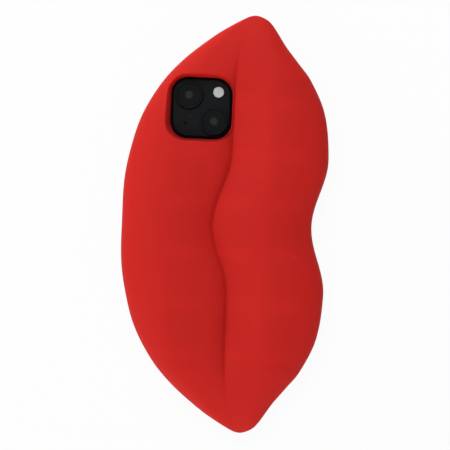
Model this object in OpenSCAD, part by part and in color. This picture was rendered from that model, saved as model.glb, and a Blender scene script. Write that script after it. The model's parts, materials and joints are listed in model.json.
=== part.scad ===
// Smartphone in a soft case shaped like a pair of lips.
// It lies on its screen, lips up. +X runs from the lower lip to the upper lip,
// +Y along the mouth towards the phone's cameras, +Z away from the screen.
// The origin is under the middle of the lips' outline, in the plane of the case's flat front.

/* [Lips] */
// Reach of each tip beyond the phone's end
tip_reach = 29.15; // [26:0.05:42]
// Reach of the lower lip's edge beyond the phone's side
lower_wing = 19.45; // [17:0.05:30]
// Reach of the upper lip's edge beyond the phone's side
upper_wing = 9.15; // [8.8:0.05:20]
// Depth of the bow in the upper lip's edge
bow_depth = 7; // [0:0.1:7]
// Half the length of the bow along the mouth
bow_half = 34; // [20:1:45]
// Height of the lower lip's crest at mid length
lower_crest = 18.4; // [16:0.1:26]
// Height of the upper lip's crest at mid length
upper_crest = 17.6; // [16:0.1:26]
// Height of the lips at their tips
tip_height = 9.2; // [9:0.1:14]
// Depth of the mouth line below the crests at mid length
mouth_depth = 6.2; // [1:0.1:7]
// Push of the upper lip's middle bead into the lower lip
bead_push = 8.3; // [0:0.1:14]
// Half the length of the middle bead along the mouth
bead_half = 35; // [20:1:50]
// Radius of the tips, seen from above
tip_radius = 5; // [3:0.1:7]
// Offset of both tips from the phone's centreline
tip_offset = 6.5; // [0:0.1:12]
// Height of the upright edge wall below the domes
wall_height = 7.6; // [7.2:0.1:9]
// Radius of the rim that the case rests on
rim_radius = 1.1; // [0.4:0.1:2]

/* [Case] */
// Gap between the phone's sides and the pocket
pocket_gap = 0.3; // [0.2:0.05:0.6]
// Gap between the phone's back and the pocket's floor
floor_gap = 0.2; // [0.1:0.05:0.6]
// Overlap of the screen lip over the phone's edge
lip_overlap = 1.3; // [0.6:0.1:2.5]
// Rise of the rim above the screen's glass
screen_rise = 1.2; // [0.9:0.1:2]
// Gap between the camera plateau and the window
window_gap = 0.5; // [0.3:0.1:1.5]
// Flare of the window's wall, from the pocket to the lips
window_flare = 0.17; // [0:0.01:0.4]
// Shift of the window's flare towards the mouth line
window_lean = 8; // [0:0.5:14]
// Skin left over each core-out
core_skin = 2.6; // [1.6:0.1:4]
// Size of one core-out cell
core_cell = 12.4; // [8:0.1:13]
// Rib between core-out cells
core_rib = 2.6; // [1.6:0.1:6]
// Height of the button troughs, measured from the rim
trough_height = 7; // [6.6:0.1:7.4]
// Length of the side button's trough
side_trough = 21.2; // [18:0.1:28]
// Length of the trough over the volume buttons and ring switch
volume_trough = 41; // [40:0.1:46]
// Width of the charging trough at the phone
port_trough = 38; // [30:1:44]
// Width of the charging trough where it leaves the tip
port_mouth = 22.6; // [14:0.1:24]

/* [Phone] */
// Width of the phone
phone_w = 71.5; // [70:0.1:72.5]
// Length of the phone
phone_l = 146.7; // [143:0.1:149]
// Thickness of the phone
phone_t = 7.65; // [7.6:0.05:8]
// Radius of the phone's corners
corner_r = 11; // [9:0.1:13]
// Thickness of the band round the phone
band_t = 2.5; // [2.2:0.1:2.6]
// Stand of each glass proud of the band
glass_proud = 0.2; // [0.1:0.05:0.3]
// Thickness of the display glass
glass_t = 0.7; // [0.5:0.05:0.8]
// Thickness of the display panel
panel_t = 1.1; // [0.8:0.05:1.15]
// Thickness of the back glass
back_t = 0.7; // [0.5:0.05:0.75]
// Length of the bay below the battery, for the port and the loudspeaker
lower_bay = 21.35; // [20.5:0.05:26]
// Width of the strip beside the battery, for the logic board
board_strip = 22.65; // [21.5:0.05:26]
// Length of the logic board
board_l = 74; // [50:1:76]

/* [Cameras] */
// Width of the square camera plateau
plateau_w = 29; // [28:0.1:30]
// Rise of the plateau above the back glass
plateau_rise = 1.4; // [1:0.1:1.8]
// Inset of the plateau from the phone's sides
plateau_inset = 2.9; // [2.6:0.1:3.4]
// Corner radius of the plateau
plateau_r = 8; // [6:0.1:9]
// Offset of each lens from the plateau's middle, both ways
lens_offset = 6.3; // [6.1:0.05:6.6]
// Radius of the lens rings
ring_r = 6.9; // [6.6:0.1:7.2]
// Rise of the lens rings above the plateau
ring_rise = 1.1; // [0.9:0.05:1.4]
// Radius of the flash window
flash_r = 2.8; // [2:0.1:2.9]
// Focus travel of the main lens
focus_travel = 0.25; // [0.1:0.05:0.3]

/* [Buttons] */
// Length of the side button
side_len = 16.6; // [12:0.1:17]
// Length of each volume button
volume_len = 11; // [8:0.1:11.2]
// Height of the button caps
cap_h = 2.8; // [2:0.1:3]
// Stand of the button caps proud of the band
cap_proud = 0.55; // [0.3:0.05:0.7]
// Travel of the buttons when pressed
press_travel = 0.35; // [0.2:0.05:0.4]
// Travel of the ring switch
ring_travel = 1.6; // [1:0.1:1.8]

/* [Hidden] */
$fn = 48;
cut = 1;                 // how far cutting tools run past a face
fit = 0.12;              // running clearance round pieces that move
seat = 0.05;             // clearance round pieces that are bonded in place

// Heights through the phone, from the rim on the table up.
glass_z = screen_rise;
ledge_z = glass_z + glass_t + 0.15;
back_z = glass_z + phone_t;
band_lo = glass_z + glass_proud;
band_hi = back_z - glass_proud;
rear_ledge_z = back_z - back_t;
plate_hi = rear_ledge_z - 0.35;
plate_t = 0.4;
plate_lo = plate_hi - plate_t;
panel_z = glass_z + glass_t;
shield_z = panel_z + panel_t;
shield_t = 0.15;
bay_z = shield_z + shield_t + 0.25;
mid_z = (band_lo + band_hi) / 2;
plateau_z = back_z + plateau_rise;
ring_z = plateau_z + ring_rise;

// Places across the phone.
phone_x = (lower_wing - upper_wing) / 2;
half_w = phone_w / 2;
half_l = phone_l / 2;
half = half_l + tip_reach;
lower_reach = half_w + lower_wing;
upper_reach = half_w + upper_wing;
in_w = half_w - band_t;
in_l = half_l - band_t;
in_r = corner_r - band_t;
glass_lip = 0.5;         // band left outside each glass
glass_gap = 0.15;        // gap between each glass and the band
strip_w = 1.3;
strip_depth = 1.2;
strip_inset = 15.35;     // strips' distance from the corners' square ends
strip_corner = 8.25;     // the same for the strip beside the loudspeaker's grille
plateau_x = -half_w + plateau_inset + plateau_w / 2;
plateau_y = half_l - plateau_inset - plateau_w / 2;
main_at = [plateau_x - lens_offset, plateau_y + lens_offset];
wide_at = [plateau_x + lens_offset, plateau_y - lens_offset];
flash_at = [plateau_x + plateau_w / 2 - 6.4, plateau_y + plateau_w / 2 - 6.1];
mic_at = [plateau_x - plateau_w / 2 + 6.9, plateau_y - plateau_w / 2 + 6.9];
mic_r = 0.5;
lens_cover_t = 0.5;
cover_lo = ring_z - 0.2 - lens_cover_t;
lens_gap = 0.2;          // gap left under the cover when the lens is fully out
cover_r = ring_r - 1.2;
lens_bore_r = ring_r - 0.7;
barrel_r = 4.8;
wide_barrel_r = 4.2;
camera_gap = 1.9;        // gap between the main camera and the band
main_body = 2 * (in_w + main_at[0] - camera_gap);
wide_body = 11.4;
body_r = 3;

// Buttons along the band: side button on the -X wall, the rest on the +X wall.
side_y = half_l - 54.25;
volume_up_y = half_l - 45.35;
volume_down_y = half_l - 58.85;
ring_y = half_l - 32.35;
trough_end = 6;          // trough left beyond the ring switch's middle
flange_t = 0.5;
flange_w = 0.3;
seal_gap = 2 * (flange_w + 0.15);
switch_gap = press_travel + 0.05;
nub_len = 0.6;
ring_lever = [5.6, 2];
ring_slot = ring_lever[1] + ring_travel + 0.5;

// Charging port, screws and grilles in the bottom wall.
port_w = 8.6;
port_h = 2.8;
port_wall = 0.35;
port_depth = 8;
contact_pitch = 0.75;
port_screw_x = 9.3;
screw_head_r = 1;
screw_shank_r = 0.6;
screw_len = 3.8;
grille_r = 0.7;
grille_pitch = 2.1;
grille_x = 12.2;
grille_count = floor((half_w - corner_r - grille_x - 2) / grille_pitch) + 1;

// Pieces in the bay between the display and the middle plate.
panel_in = 1.2;
shield_in = 1.6;
lug_w = 3;
lug_t = 1.5;
sensor_w = 25.6;
sensor_depth = 7.4;
camera_hole = plateau_w - 1.4;
camera_hole_r = 3.5;
bracket_t = 0.4;
side_gap = 3.85;         // room beside the battery and the loudspeaker
battery_gap = 6.45;      // room between the battery and the wide camera
battery_x = -in_w + side_gap;
battery_y = -in_l + lower_bay;
battery_w = 2 * in_w - side_gap - board_strip;
battery_l = plateau_y - lens_offset - wide_body / 2 - battery_gap - battery_y;
battery_r = 1.5;
glue_w = 6;
glue_t = 0.1;
bay_top = plate_lo;
board_x = in_w - board_strip + 2;
board_w = board_strip - 6.05;
board_y = in_l - 12.85 - board_l;
board_t = 0.9;
flex_w = 6;
board_z = bay_z + 2.2;
sim_w = 14;
sim_l = 17.6;
sim_t = 1.9;
sim_wall = 1;
sim_y = board_y - 2.5 - sim_wall - sim_w / 2;
card = [12.3, 8.8, 0.7];
card_gap = 0.15;
card_x = in_w - 4;
card_z = mid_z - sim_t / 2 + 0.6;
speaker_l = 17.8;
speaker_r = 5;
speaker_x = -port_screw_x - 2.1;
haptic_size = [in_w - 4.55 - port_screw_x - 0.4, 10.6, 3.4];
haptic_at = [port_screw_x + 0.4 + haptic_size[0] / 2, -in_l + 8.45];
haptic_wall = 0.35;
haptic_end = 2.4;        // room for a leaf spring at each end of the weight
leaf_t = 0.15;
coil_r = 21.5;
coil_in_r = 10.5;
magnet_r = 27;
magnet_in_r = 23.5;
magnet_count = 18;
coil_t = 0.3;

// Shape of the lips.
mouth_x = -2.3;          // mouth line's offset from the phone's centreline
pocket_z = back_z + floor_gap;
lip_clear = 0.05;        // gap between the screen lip and the glass
lip_lift = 0.25;         // gap between the screen lip and the table
lower_shape = [[0, 1], [0.195, 0.993], [0.351, 0.945], [0.507, 0.859],
               [0.663, 0.7], [0.78, 0.515], [0.897, 0.259], [0.975, 0.051], [1, 0]];
upper_shape = [[0, 1], [0.351, 1], [0.546, 0.916], [0.702, 0.692], [0.78, 0.503],
               [0.858, 0.311], [0.936, 0.156], [0.975, 0.078], [1, 0]];
lower_crest_share = 0.48; // place of the lower crest, from the edge to the mouth line
upper_crest_share = 0.56; // place of the upper crest, from the edge to the mouth line
tip_fall = 5;            // power of the crests' fall towards the tips
mouth_fade = [8, 16];    // powers of the mouth line's fading towards the tips
// Forms of the lips' quarter domes: power of the crest, power of the foot (2 stands upright
// there, 1 meets it at a slope), share of the height in the crease, and the crease's powers.
outer_form = [2.4, 2, 0, 2, 1];
inner_form = [2.4, 1, 0.3, 16, 1];
bead_form = [1.8, 1, 0, 2, 1];
back_form = [2.3, 2, 0, 2, 1];
rows = 30;               // rows of the lips' surface from the middle to each tip
cols = 9;                // columns over each quarter of a row
tip_stop = 0.9996;       // share of the half length at which the surface is closed off
nose = 24;               // power of the rounding over each tip, seen from the side

// ---- shape of the lips ----

function bell(t) = abs(t) < 1 ? (1 + cos(180 * t)) / 2 : 0;
function grade(p, i) = i == 0 ? 0
    : i == len(p) - 1 ? (p[i][1] - p[i - 1][1]) / (p[i][0] - p[i - 1][0])
    : (p[i + 1][1] - p[i - 1][1]) / (p[i + 1][0] - p[i - 1][0]);
function span(p, x, i = 0) = i >= len(p) - 2 || x < p[i + 1][0] ? i : span(p, x, i + 1);
// Smooth curve through the stations p, read at x.
function curve(p, x) =
    let (i = span(p, x), h = p[i + 1][0] - p[i][0], t = (x - p[i][0]) / h)
    p[i][1] * (2 * t ^ 3 - 3 * t ^ 2 + 1) + h * grade(p, i) * (t ^ 3 - 2 * t ^ 2 + t)
    + p[i + 1][1] * (3 * t ^ 2 - 2 * t ^ 3) + h * grade(p, i + 1) * (t ^ 3 - t ^ 2);

function tip_round(s) = tip_radius * sqrt(max(0, 1 - s ^ 40));
function lower_edge(y) = let (s = abs(y) / half)
    tip_offset - tip_round(s) - (lower_reach + tip_offset - tip_radius) * curve(lower_shape, s);
function upper_edge(y) = let (s = abs(y) / half)
    tip_offset + tip_round(s) + (upper_reach - tip_offset - tip_radius) * curve(upper_shape, s)
    - bow_depth * bell(y / bow_half);
function mouth_line(y) = let (s = abs(y) / half)
    mouth_x + (tip_offset - mouth_x) * s ^ 9 - bead_push * bell(y / bead_half);
function crest(y, top) = let (s = abs(y) / half)
    wall_height + (tip_height - wall_height + (top - tip_height) * (1 - s ^ tip_fall))
    * sqrt(max(0, 1 - s ^ nose));
function mouth_z(y) = let (s = abs(y) / half)
    (crest(y, lower_crest) + crest(y, upper_crest)) / 2
    - mouth_depth * (1 - s ^ mouth_fade[0]) ^ mouth_fade[1];

// Height of a quarter dome as a share of its crest's; away is 0 at the crest and 1 at the foot.
function dome_share(away, form) = (1 - form[2]) * (1 - away ^ form[0]) ^ (1 / form[1])
    + form[2] * (1 - away ^ form[3]) ^ (1 / form[4]);

// A quarter dome from its foot [x0, z0] to its crest [x1, z1].
function quarter(x0, z0, x1, z1, form) = [for (k = [0:cols])
    let (away = cos(90 * k / cols) ^ (2 / form[0]))
    [x1 + (x0 - x1) * away, z0 + (z1 - z0) * dome_share(away, form)]];
function backwards(list) = [for (i = [len(list) - 1:-1:0]) list[i]];
function inner(list) = [for (i = [1:len(list) - 1]) list[i]];

// The outline of one slice across the lips, from the lower lip's foot to the upper lip's foot.
function slice(y) = let (
    lo = lower_edge(y), hi = upper_edge(y), mouth = mouth_line(y), mz = mouth_z(y),
    rim = min(rim_radius, (hi - lo) / 4),
    lc = lo + (mouth - lo) * lower_crest_share, lz = crest(y, lower_crest),
    uc = hi + (mouth - hi) * upper_crest_share, uz = crest(y, upper_crest))
    concat(
        [[lo + rim, 0], [lo + rim * 0.3, rim * 0.3], [lo, rim]],
        quarter(lo, wall_height, lc, lz, outer_form),
        inner(backwards(quarter(mouth, mz, lc, lz, inner_form))),
        inner(quarter(mouth, mz, uc, uz, bead_form)),
        inner(backwards(quarter(hi, wall_height, uc, uz, back_form))),
        [[hi, rim], [hi - rim * 0.3, rim * 0.3], [hi - rim, 0]]);

// Height of the lips at one point, for what is cored out under them.
function dome(x, x0, z0, x1, z1, form) =
    z0 + (z1 - z0) * dome_share(min(1, abs((x - x1) / (x0 - x1))), form);
function lip_top(x, y) = let (
    lo = lower_edge(y), hi = upper_edge(y), mouth = mouth_line(y), mz = mouth_z(y),
    lc = lo + (mouth - lo) * lower_crest_share, lz = crest(y, lower_crest),
    uc = hi + (mouth - hi) * upper_crest_share, uz = crest(y, upper_crest))
    x < lc ? dome(x, lo, wall_height, lc, lz, outer_form)
    : x < mouth ? dome(x, mouth, mz, lc, lz, inner_form)
    : x < uc ? dome(x, mouth, mz, uc, uz, bead_form)
    : dome(x, hi, wall_height, uc, uz, back_form);

// Lowest height of the lips at one y, from x - reach to x + reach.
function lip_low(x, y, reach) = min(
    lip_top(x - reach, y), lip_top(x, y), lip_top(x + reach, y),
    abs(mouth_line(y) - x) < reach ? mouth_z(y) : lower_crest);

module lips_solid() {
    ys = [for (i = [-rows:rows]) half * tip_stop * sin(90 * i / rows)];
    slices = [for (y = ys) slice(y)];
    n = len(slices[0]);
    last = len(ys) - 1;
    points = [for (i = [0:last]) for (p = slices[i]) [p[0], ys[i], p[1]]];
    skin = [for (i = [0:last - 1]) for (j = [0:n - 2])
        let (a = i * n + j) each [[a, a + n + 1, a + 1], [a, a + n, a + n + 1]]];
    base = [for (i = [0:last - 1])
        let (a = i * n) each [[a, a + 2 * n - 1, a + n], [a, a + n - 1, a + 2 * n - 1]]];
    near = [for (j = [1:n - 2]) [0, j, j + 1]];
    far = [for (j = [1:n - 2]) [last * n, last * n + j + 1, last * n + j]];
    polyhedron(points, concat(skin, base, near, far), convexity = 8);
}

// ---- helpers ----

module at_phone() translate([phone_x, 0, 0]) children();

// A rectangle with true round corners.
module rounded(size, r) {
    square([size[0] - 2 * r, size[1]], center = true);
    square([size[0], size[1] - 2 * r], center = true);
    for (sx = [-1, 1], sy = [-1, 1])
        translate([sx * (size[0] / 2 - r), sy * (size[1] / 2 - r)]) circle(r);
}

module slab(size, r, z0, z1) translate([0, 0, z0]) linear_extrude(z1 - z0) rounded(size, r);

// A box from its lowest to its highest corner.
module block(lo, hi) translate(lo) cube(hi - lo);

module disc(at, r, z0, z1) translate([at[0], at[1], z0]) cylinder(r = r, h = z1 - z0);

// A bar along Y with round ends, lying across X from x0 to x1.
module bar(x0, x1, y, z, len, h) {
    translate([x0, y, z]) rotate([90, 0, 90]) linear_extrude(x1 - x0) {
        square([len - h, h], center = true);
        for (s = [-1, 1]) translate([s * (len - h) / 2, 0]) circle(h / 2);
    }
}

// A bar along X with round ends, lying across Y from y0 to y1.
module cross_bar(y0, y1, x, z, len, h) {
    translate([x, y1, z]) rotate([90, 0, 0]) linear_extrude(y1 - y0) {
        square([len - h, h], center = true);
        for (s = [-1, 1]) translate([s * (len - h) / 2, 0]) circle(h / 2);
    }
}

// ---- case ----

module core_outs() {
    pitch = core_cell + core_rib;
    room = [phone_w - 8, phone_l - 8];
    nx = floor((room[0] + core_rib) / pitch);
    ny = floor((room[1] + core_rib) / pitch);
    reach = core_cell / 2 + core_rib / 2;
    for (i = [0:nx - 1], j = [0:ny - 1]) {
        x = (i - (nx - 1) / 2) * pitch;
        y = (j - (ny - 1) / 2) * pitch;
        top = min([for (b = [-1, 0, 1]) lip_low(x, y + b * reach, reach)]);
        window_reach = (plateau_w + core_cell) / 2 + core_rib
            + window_flare * max(0, top - core_skin - pocket_z);
        at_window = abs(x - plateau_x) < window_reach && abs(y - plateau_y) < window_reach;
        if (top - core_skin > pocket_z + 1 && !at_window)
            translate([x, y, 0])
                slab([core_cell, core_cell], core_cell / 5, pocket_z - cut, top - core_skin);
    }
}

module camera_window() {
    rise = lower_crest - pocket_z + cut;
    low = plateau_w + 2 * window_gap;
    high = low + 2 * window_flare * rise;
    translate([plateau_x + window_lean, plateau_y, pocket_z - 0.01])
        linear_extrude(rise, scale = high / low)
            translate([-window_lean, 0]) rounded([low, low], plateau_r + window_gap);
    translate([plateau_x, plateau_y, 0])
        slab([low, low], plateau_r + window_gap, pocket_z - cut, pocket_z + 0.02);
}

module port_trough_cut() {
    near = -half_l - 3;
    far = -half_l - tip_reach * 0.65;
    translate([0, 0, -cut]) linear_extrude(plate_hi + cut) polygon([
        [-port_trough / 2, -half_l + cut], [port_trough / 2, -half_l + cut],
        [port_trough / 2, near], [tip_offset + port_mouth / 2, far],
        [tip_offset + port_mouth / 2, -half - cut], [tip_offset - port_mouth / 2, -half - cut],
        [tip_offset - port_mouth / 2, far], [-port_trough / 2, near]]);
}

module lip_case() at_phone() color("red") difference() {
    lips_solid();
    slab([phone_w + 2 * pocket_gap, phone_l + 2 * pocket_gap], corner_r + pocket_gap,
         -cut, pocket_z);
    camera_window();
    core_outs();
    block([-lower_reach - cut, side_y - side_trough / 2, -cut],
          [-half_w + cut, side_y + side_trough / 2, trough_height]);
    block([half_w - cut, ring_y + trough_end - volume_trough, -cut],
          [upper_reach + cut, ring_y + trough_end, trough_height]);
    port_trough_cut();
}

module screen_lip() at_phone() color("red") difference() {
    slab([phone_w + 2 * pocket_gap, phone_l + 2 * pocket_gap], corner_r + pocket_gap,
         lip_lift, glass_z - lip_clear);
    slab([phone_w - 2 * lip_overlap, phone_l - 2 * lip_overlap], corner_r - lip_overlap,
         -cut, glass_z + cut);
    block([-half_w * 2, side_y - side_trough / 2, -cut],
          [-half_w - 0.01, side_y + side_trough / 2, glass_z]);
}

// ---- phone: housing and glass ----

module band_slots() {
    bar(-half_w - cut, -in_w + cut, side_y, mid_z, side_len + 2 * fit, cap_h + 2 * fit);
    for (y = [volume_up_y, volume_down_y])
        bar(in_w - cut, half_w + cut, y, mid_z, volume_len + 2 * fit, cap_h + 2 * fit);
    block([in_w - cut, ring_y - ring_lever[0] / 2 - 0.3, mid_z - ring_slot / 2],
          [half_w + cut, ring_y + ring_lever[0] / 2 + 0.3, mid_z + ring_slot / 2]);
    block([in_w - cut, sim_y - sim_w / 2 - fit, mid_z - sim_t / 2 - fit],
          [half_w + cut, sim_y + sim_w / 2 + fit, mid_z + sim_t / 2 + fit]);
    cross_bar(-half_l - cut, -in_l + cut, 0, mid_z,
              port_w + 2 * (port_wall + seat), port_h + 2 * (port_wall + seat));
    for (s = [-1, 1]) translate([s * port_screw_x, -in_l + cut, mid_z]) rotate([90, 0, 0]) {
        cylinder(r = screw_shank_r + seat, h = band_t + 2 * cut);
        translate([0, 0, cut + band_t - 0.9]) cylinder(r = screw_head_r + seat, h = 0.9 + cut);
    }
    for (i = [0:grille_count - 1]) grille_hole(-grille_x - i * grille_pitch);
    for (i = [0:2]) grille_hole(grille_x + i * grille_pitch);
}

module grille_hole(x)
    translate([x, -in_l + cut, mid_z]) rotate([90, 0, 0]) cylinder(r = grille_r, h = band_t + 2 * cut);

// Plastic bands set into the outer half of the metal band, cut or filled by the same shape.
module band_strips() intersection() {
    slab([phone_w, phone_l], corner_r, band_lo, band_hi);
    for (level = [[glass_lip, band_lo, band_hi], [strip_depth, ledge_z, rear_ledge_z]]) {
        for (turn = [0, 1], y = [strip_inset - half_l, half_l - strip_inset]) mirror([turn, 0, 0])
            block([half_w - level[0], y - strip_w / 2, level[1]],
                  [half_w, y + strip_w / 2, level[2]]);
        for (strip = [[half_w - strip_inset + 0.1, 0], [strip_corner - half_w, 1]]) mirror([0, strip[1], 0])
            block([strip[0] - strip_w / 2, half_l - level[0], level[1]],
                  [strip[0] + strip_w / 2, half_l, level[2]]);
    }
}

module frame() at_phone() color("darkslategray") difference() {
    slab([phone_w, phone_l], corner_r, band_lo, band_hi);
    for (z = [[band_lo - cut, ledge_z], [rear_ledge_z, band_hi + cut]])
        slab([phone_w - 2 * glass_lip, phone_l - 2 * glass_lip], corner_r - glass_lip, z[0], z[1]);
    for (z = [[ledge_z - cut, plate_lo], [plate_hi, rear_ledge_z + cut]])
        slab([2 * in_w, 2 * in_l], in_r, z[0], z[1]);
    translate([plateau_x, plateau_y, 0])
        slab([camera_hole, camera_hole], camera_hole_r, plate_lo - cut, plate_hi + cut);
    band_slots();
    band_strips();
}

module antenna_bands() at_phone() color("dimgray") band_strips();

module back_glass() at_phone() color("black") difference() {
    union() {
        slab([phone_w - 2 * (glass_lip + glass_gap), phone_l - 2 * (glass_lip + glass_gap)],
             corner_r - glass_lip - glass_gap, rear_ledge_z, back_z);
        translate([plateau_x, plateau_y, 0])
            slab([plateau_w, plateau_w], plateau_r, back_z - 0.1, plateau_z);
    }
    for (at = [main_at, wide_at]) disc(at, lens_bore_r, rear_ledge_z - cut, plateau_z + cut);
    disc(flash_at, flash_r + seat, rear_ledge_z - cut, plateau_z + cut);
    disc(mic_at, mic_r, rear_ledge_z - cut, plateau_z + cut);
}

module display_glass() at_phone() color("black") difference() {
    slab([phone_w - 2 * (glass_lip + glass_gap), phone_l - 2 * (glass_lip + glass_gap)],
         corner_r - glass_lip - glass_gap, glass_z, panel_z);
    translate([0, in_l - 0.9, glass_z - cut]) linear_extrude(glass_t + 2 * cut) {
        square([10, 0.9], center = true);
        for (s = [-1, 1]) translate([s * 5, 0]) circle(0.45);
    }
}

module display_seal() at_phone() color("black") difference() {
    slab([phone_w - 2 * glass_lip - 0.4, phone_l - 2 * glass_lip - 0.4], corner_r - glass_lip - 0.2,
         panel_z, ledge_z);
    slab([2 * in_w, 2 * in_l], in_r, panel_z - cut, ledge_z + cut);
}

module display_panel() at_phone() color("midnightblue") difference() {
    slab([2 * (in_w - panel_in), 2 * (in_l - panel_in)], in_r - panel_in, panel_z, shield_z);
    sensor_notch(0.2, shield_z);
}

// Room in the panel and its shield for the front cameras and the earpiece.
module sensor_notch(gap, top)
    block([-sensor_w / 2 - gap, in_l - sensor_depth - gap, panel_z - cut],
          [sensor_w / 2 + gap, in_l + cut, top + cut]);

// The steel sheet behind the panel, with the two lugs that the bottom screws hold.
module display_shield() at_phone() color("silver") difference() {
    union() {
        difference() {
            slab([2 * (in_w - shield_in), 2 * (in_l - shield_in)], in_r - shield_in,
                 shield_z, shield_z + shield_t);
            sensor_notch(0.6, shield_z + shield_t);
        }
        for (s = [-1, 1])
            block([s * port_screw_x - lug_w / 2, -in_l + 0.9, shield_z],
                  [s * port_screw_x + lug_w / 2, -in_l + 0.9 + lug_t, mid_z + lug_w / 2]);
    }
    for (s = [-1, 1]) translate([s * port_screw_x, -in_l + 1.9 + lug_t, mid_z]) rotate([90, 0, 0])
        cylinder(r = screw_shank_r + seat, h = 2 + lug_t);
}

// ---- phone: power ----

module battery() at_phone() color("dimgray") translate([battery_x, battery_y, bay_z]) {
    translate([battery_w / 2, battery_l / 2, 0])
        slab([battery_w, battery_l], battery_r, 0, bay_top - glue_t - bay_z);
}

module battery_glue() at_phone() color("white") for (i = [-1:1]) {
    x = battery_x + battery_w / 2 + i * battery_w * 0.3;
    block([x - glue_w / 2, battery_y + glue_w, bay_top - glue_t],
          [x + glue_w / 2, battery_y + battery_l - glue_w, bay_top]);
}

module battery_flex() at_phone() color("goldenrod")
    block([battery_x + battery_w, board_y + board_l / 3, board_z - 0.25],
          [board_x + 0.5, board_y + board_l / 3 + flex_w, board_z]);

module charging_coil() at_phone() color("peru") difference() {
    disc([0, 0], coil_r, plate_hi, plate_hi + coil_t);
    disc([0, 0], coil_in_r, plate_hi - cut, plate_hi + cut);
    for (r = [coil_in_r + 1.6:1.6:coil_r - 1]) difference() {
        disc([0, 0], r, plate_hi + coil_t - 0.08, plate_hi + cut);
        disc([0, 0], r - 0.25, plate_hi, plate_hi + 2 * cut);
    }
}

module magnet_ring() at_phone() color("silver")
    for (i = [0:magnet_count - 1]) rotate([0, 0, (i + 0.5) * 360 / magnet_count])
        translate([(magnet_r + magnet_in_r) / 2, 0, plate_hi])
            linear_extrude(coil_t) square([magnet_r - magnet_in_r, 6.6], center = true);

// ---- phone: board ----

module logic_board() at_phone() color("darkgreen") difference() {
    block([board_x, board_y, board_z], [board_x + board_w, board_y + board_l, board_z + board_t]);
    for (p = screw_places()) disc(p, 0.75, board_z - cut, board_z + board_t + cut);
}

function screw_places() = [for (y = [board_y + 2.2, board_y + board_l / 2, board_y + board_l - 2.2])
    [board_x + board_w - 2.2, y]];

module board_shields() at_phone() color("silver") {
    block([board_x + 0.6, board_y + 5, bay_z + 0.5],
          [board_x + board_w - 4.6, board_y + board_l / 2 - 2, board_z]);
    block([board_x + 0.6, board_y + board_l / 2 + 2, bay_z + 0.9],
          [board_x + board_w - 4.6, board_y + board_l - 2, board_z]);
    block([board_x + 1, board_y + 2, board_z + board_t],
          [board_x + board_w - 4.6, board_y + board_l - 2, bay_top - 0.1]);
}

// Screws through the board, each with the standoff sleeve that it clamps to the middle plate.
module board_screws() at_phone() color("silver") for (p = screw_places()) {
    disc(p, 1.3, board_z - 0.5, board_z);
    disc(p, 0.7, board_z - 0.1, bay_top);
}

module sim_reader() at_phone() color("silver") difference() {
    block([in_w - sim_l - 2 * sim_wall, sim_y - sim_w / 2 - sim_wall, mid_z - sim_t / 2 - sim_wall / 2],
          [in_w - 0.3, sim_y + sim_w / 2 + sim_wall, bay_top]);
    block([in_w - sim_l - sim_wall, sim_y - sim_w / 2 - fit, mid_z - sim_t / 2 - fit],
          [in_w + cut, sim_y + sim_w / 2 + fit, mid_z + sim_t / 2 + fit]);
}

module sim_tray() at_phone() color("darkslategray") difference() {
    block([in_w - sim_l, sim_y - sim_w / 2, mid_z - sim_t / 2],
          [half_w - 0.05, sim_y + sim_w / 2, mid_z + sim_t / 2]);
    block([card_x - card[0] - card_gap, sim_y - card[1] / 2 - card_gap, card_z],
          [card_x + card_gap, sim_y + card[1] / 2 + card_gap, mid_z + sim_t / 2 + cut]);
    translate([in_w, sim_y + sim_w / 2 - 2, mid_z]) rotate([0, 90, 0])
        cylinder(r = 0.45, h = band_t + cut);
}

module sim_card() at_phone() color("gold")
    block([card_x - card[0], sim_y - card[1] / 2, card_z],
          [card_x, sim_y + card[1] / 2, card_z + card[2]]);

// ---- phone: cameras ----

module camera_body(at, size, bore, floor_z) difference() {
    translate([at[0], at[1], 0]) slab([size, size], body_r, bay_z, rear_ledge_z - 0.1);
    disc(at, bore, floor_z, rear_ledge_z + cut);
}

module main_camera() at_phone() color("gray")
    camera_body(main_at, main_body, barrel_r + 0.3, bay_z + 1.6);

module wide_camera() at_phone() color("gray")
    camera_body(wide_at, wide_body, wide_barrel_r + seat, bay_z + 1.6);

module lens_barrel(at, r, z0, z1) {
    disc(at, r, z0, z1 - 0.5);
    difference() {
        disc(at, r - 0.4, z0 + 1, z1);
        translate([at[0], at[1], z1 + 3.4]) sphere(4.2);
    }
}

module main_lens() at_phone() color("black")
    lens_barrel(main_at, barrel_r, bay_z + 1.65, cover_lo - focus_travel - lens_gap);

module wide_lens() at_phone() color("black")
    lens_barrel(wide_at, wide_barrel_r, bay_z + 1.6, cover_lo - focus_travel - lens_gap);

module lens_ring(at) difference() {
    union() {
        disc(at, ring_r, plateau_z, ring_z);
        disc(at, lens_bore_r - seat, rear_ledge_z + 0.3, plateau_z + 0.1);
    }
    disc(at, cover_r + seat, cover_lo, ring_z + cut);
    disc(at, cover_r - 0.5, rear_ledge_z - cut, ring_z + cut);
}

module main_lens_ring() at_phone() color("dimgray") lens_ring(main_at);
module wide_lens_ring() at_phone() color("dimgray") lens_ring(wide_at);

module lens_cover(at) disc(at, cover_r, cover_lo, ring_z - 0.2);

module main_lens_cover() at_phone() color("black", 0.5) lens_cover(main_at);
module wide_lens_cover() at_phone() color("black", 0.5) lens_cover(wide_at);

// The steel bracket under the middle plate that locates both camera modules.
module camera_bracket() at_phone() color("silver") difference() {
    translate([plateau_x, plateau_y, 0])
        slab([camera_hole + 1.6, camera_hole + 1.6], plateau_r, plate_lo - bracket_t, plate_lo);
    translate([main_at[0], main_at[1], 0])
        slab([main_body + 0.2, main_body + 0.2], body_r, bay_z, rear_ledge_z);
    translate([wide_at[0], wide_at[1], 0])
        slab([wide_body + 0.2, wide_body + 0.2], body_r, bay_z, rear_ledge_z);
}

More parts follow.
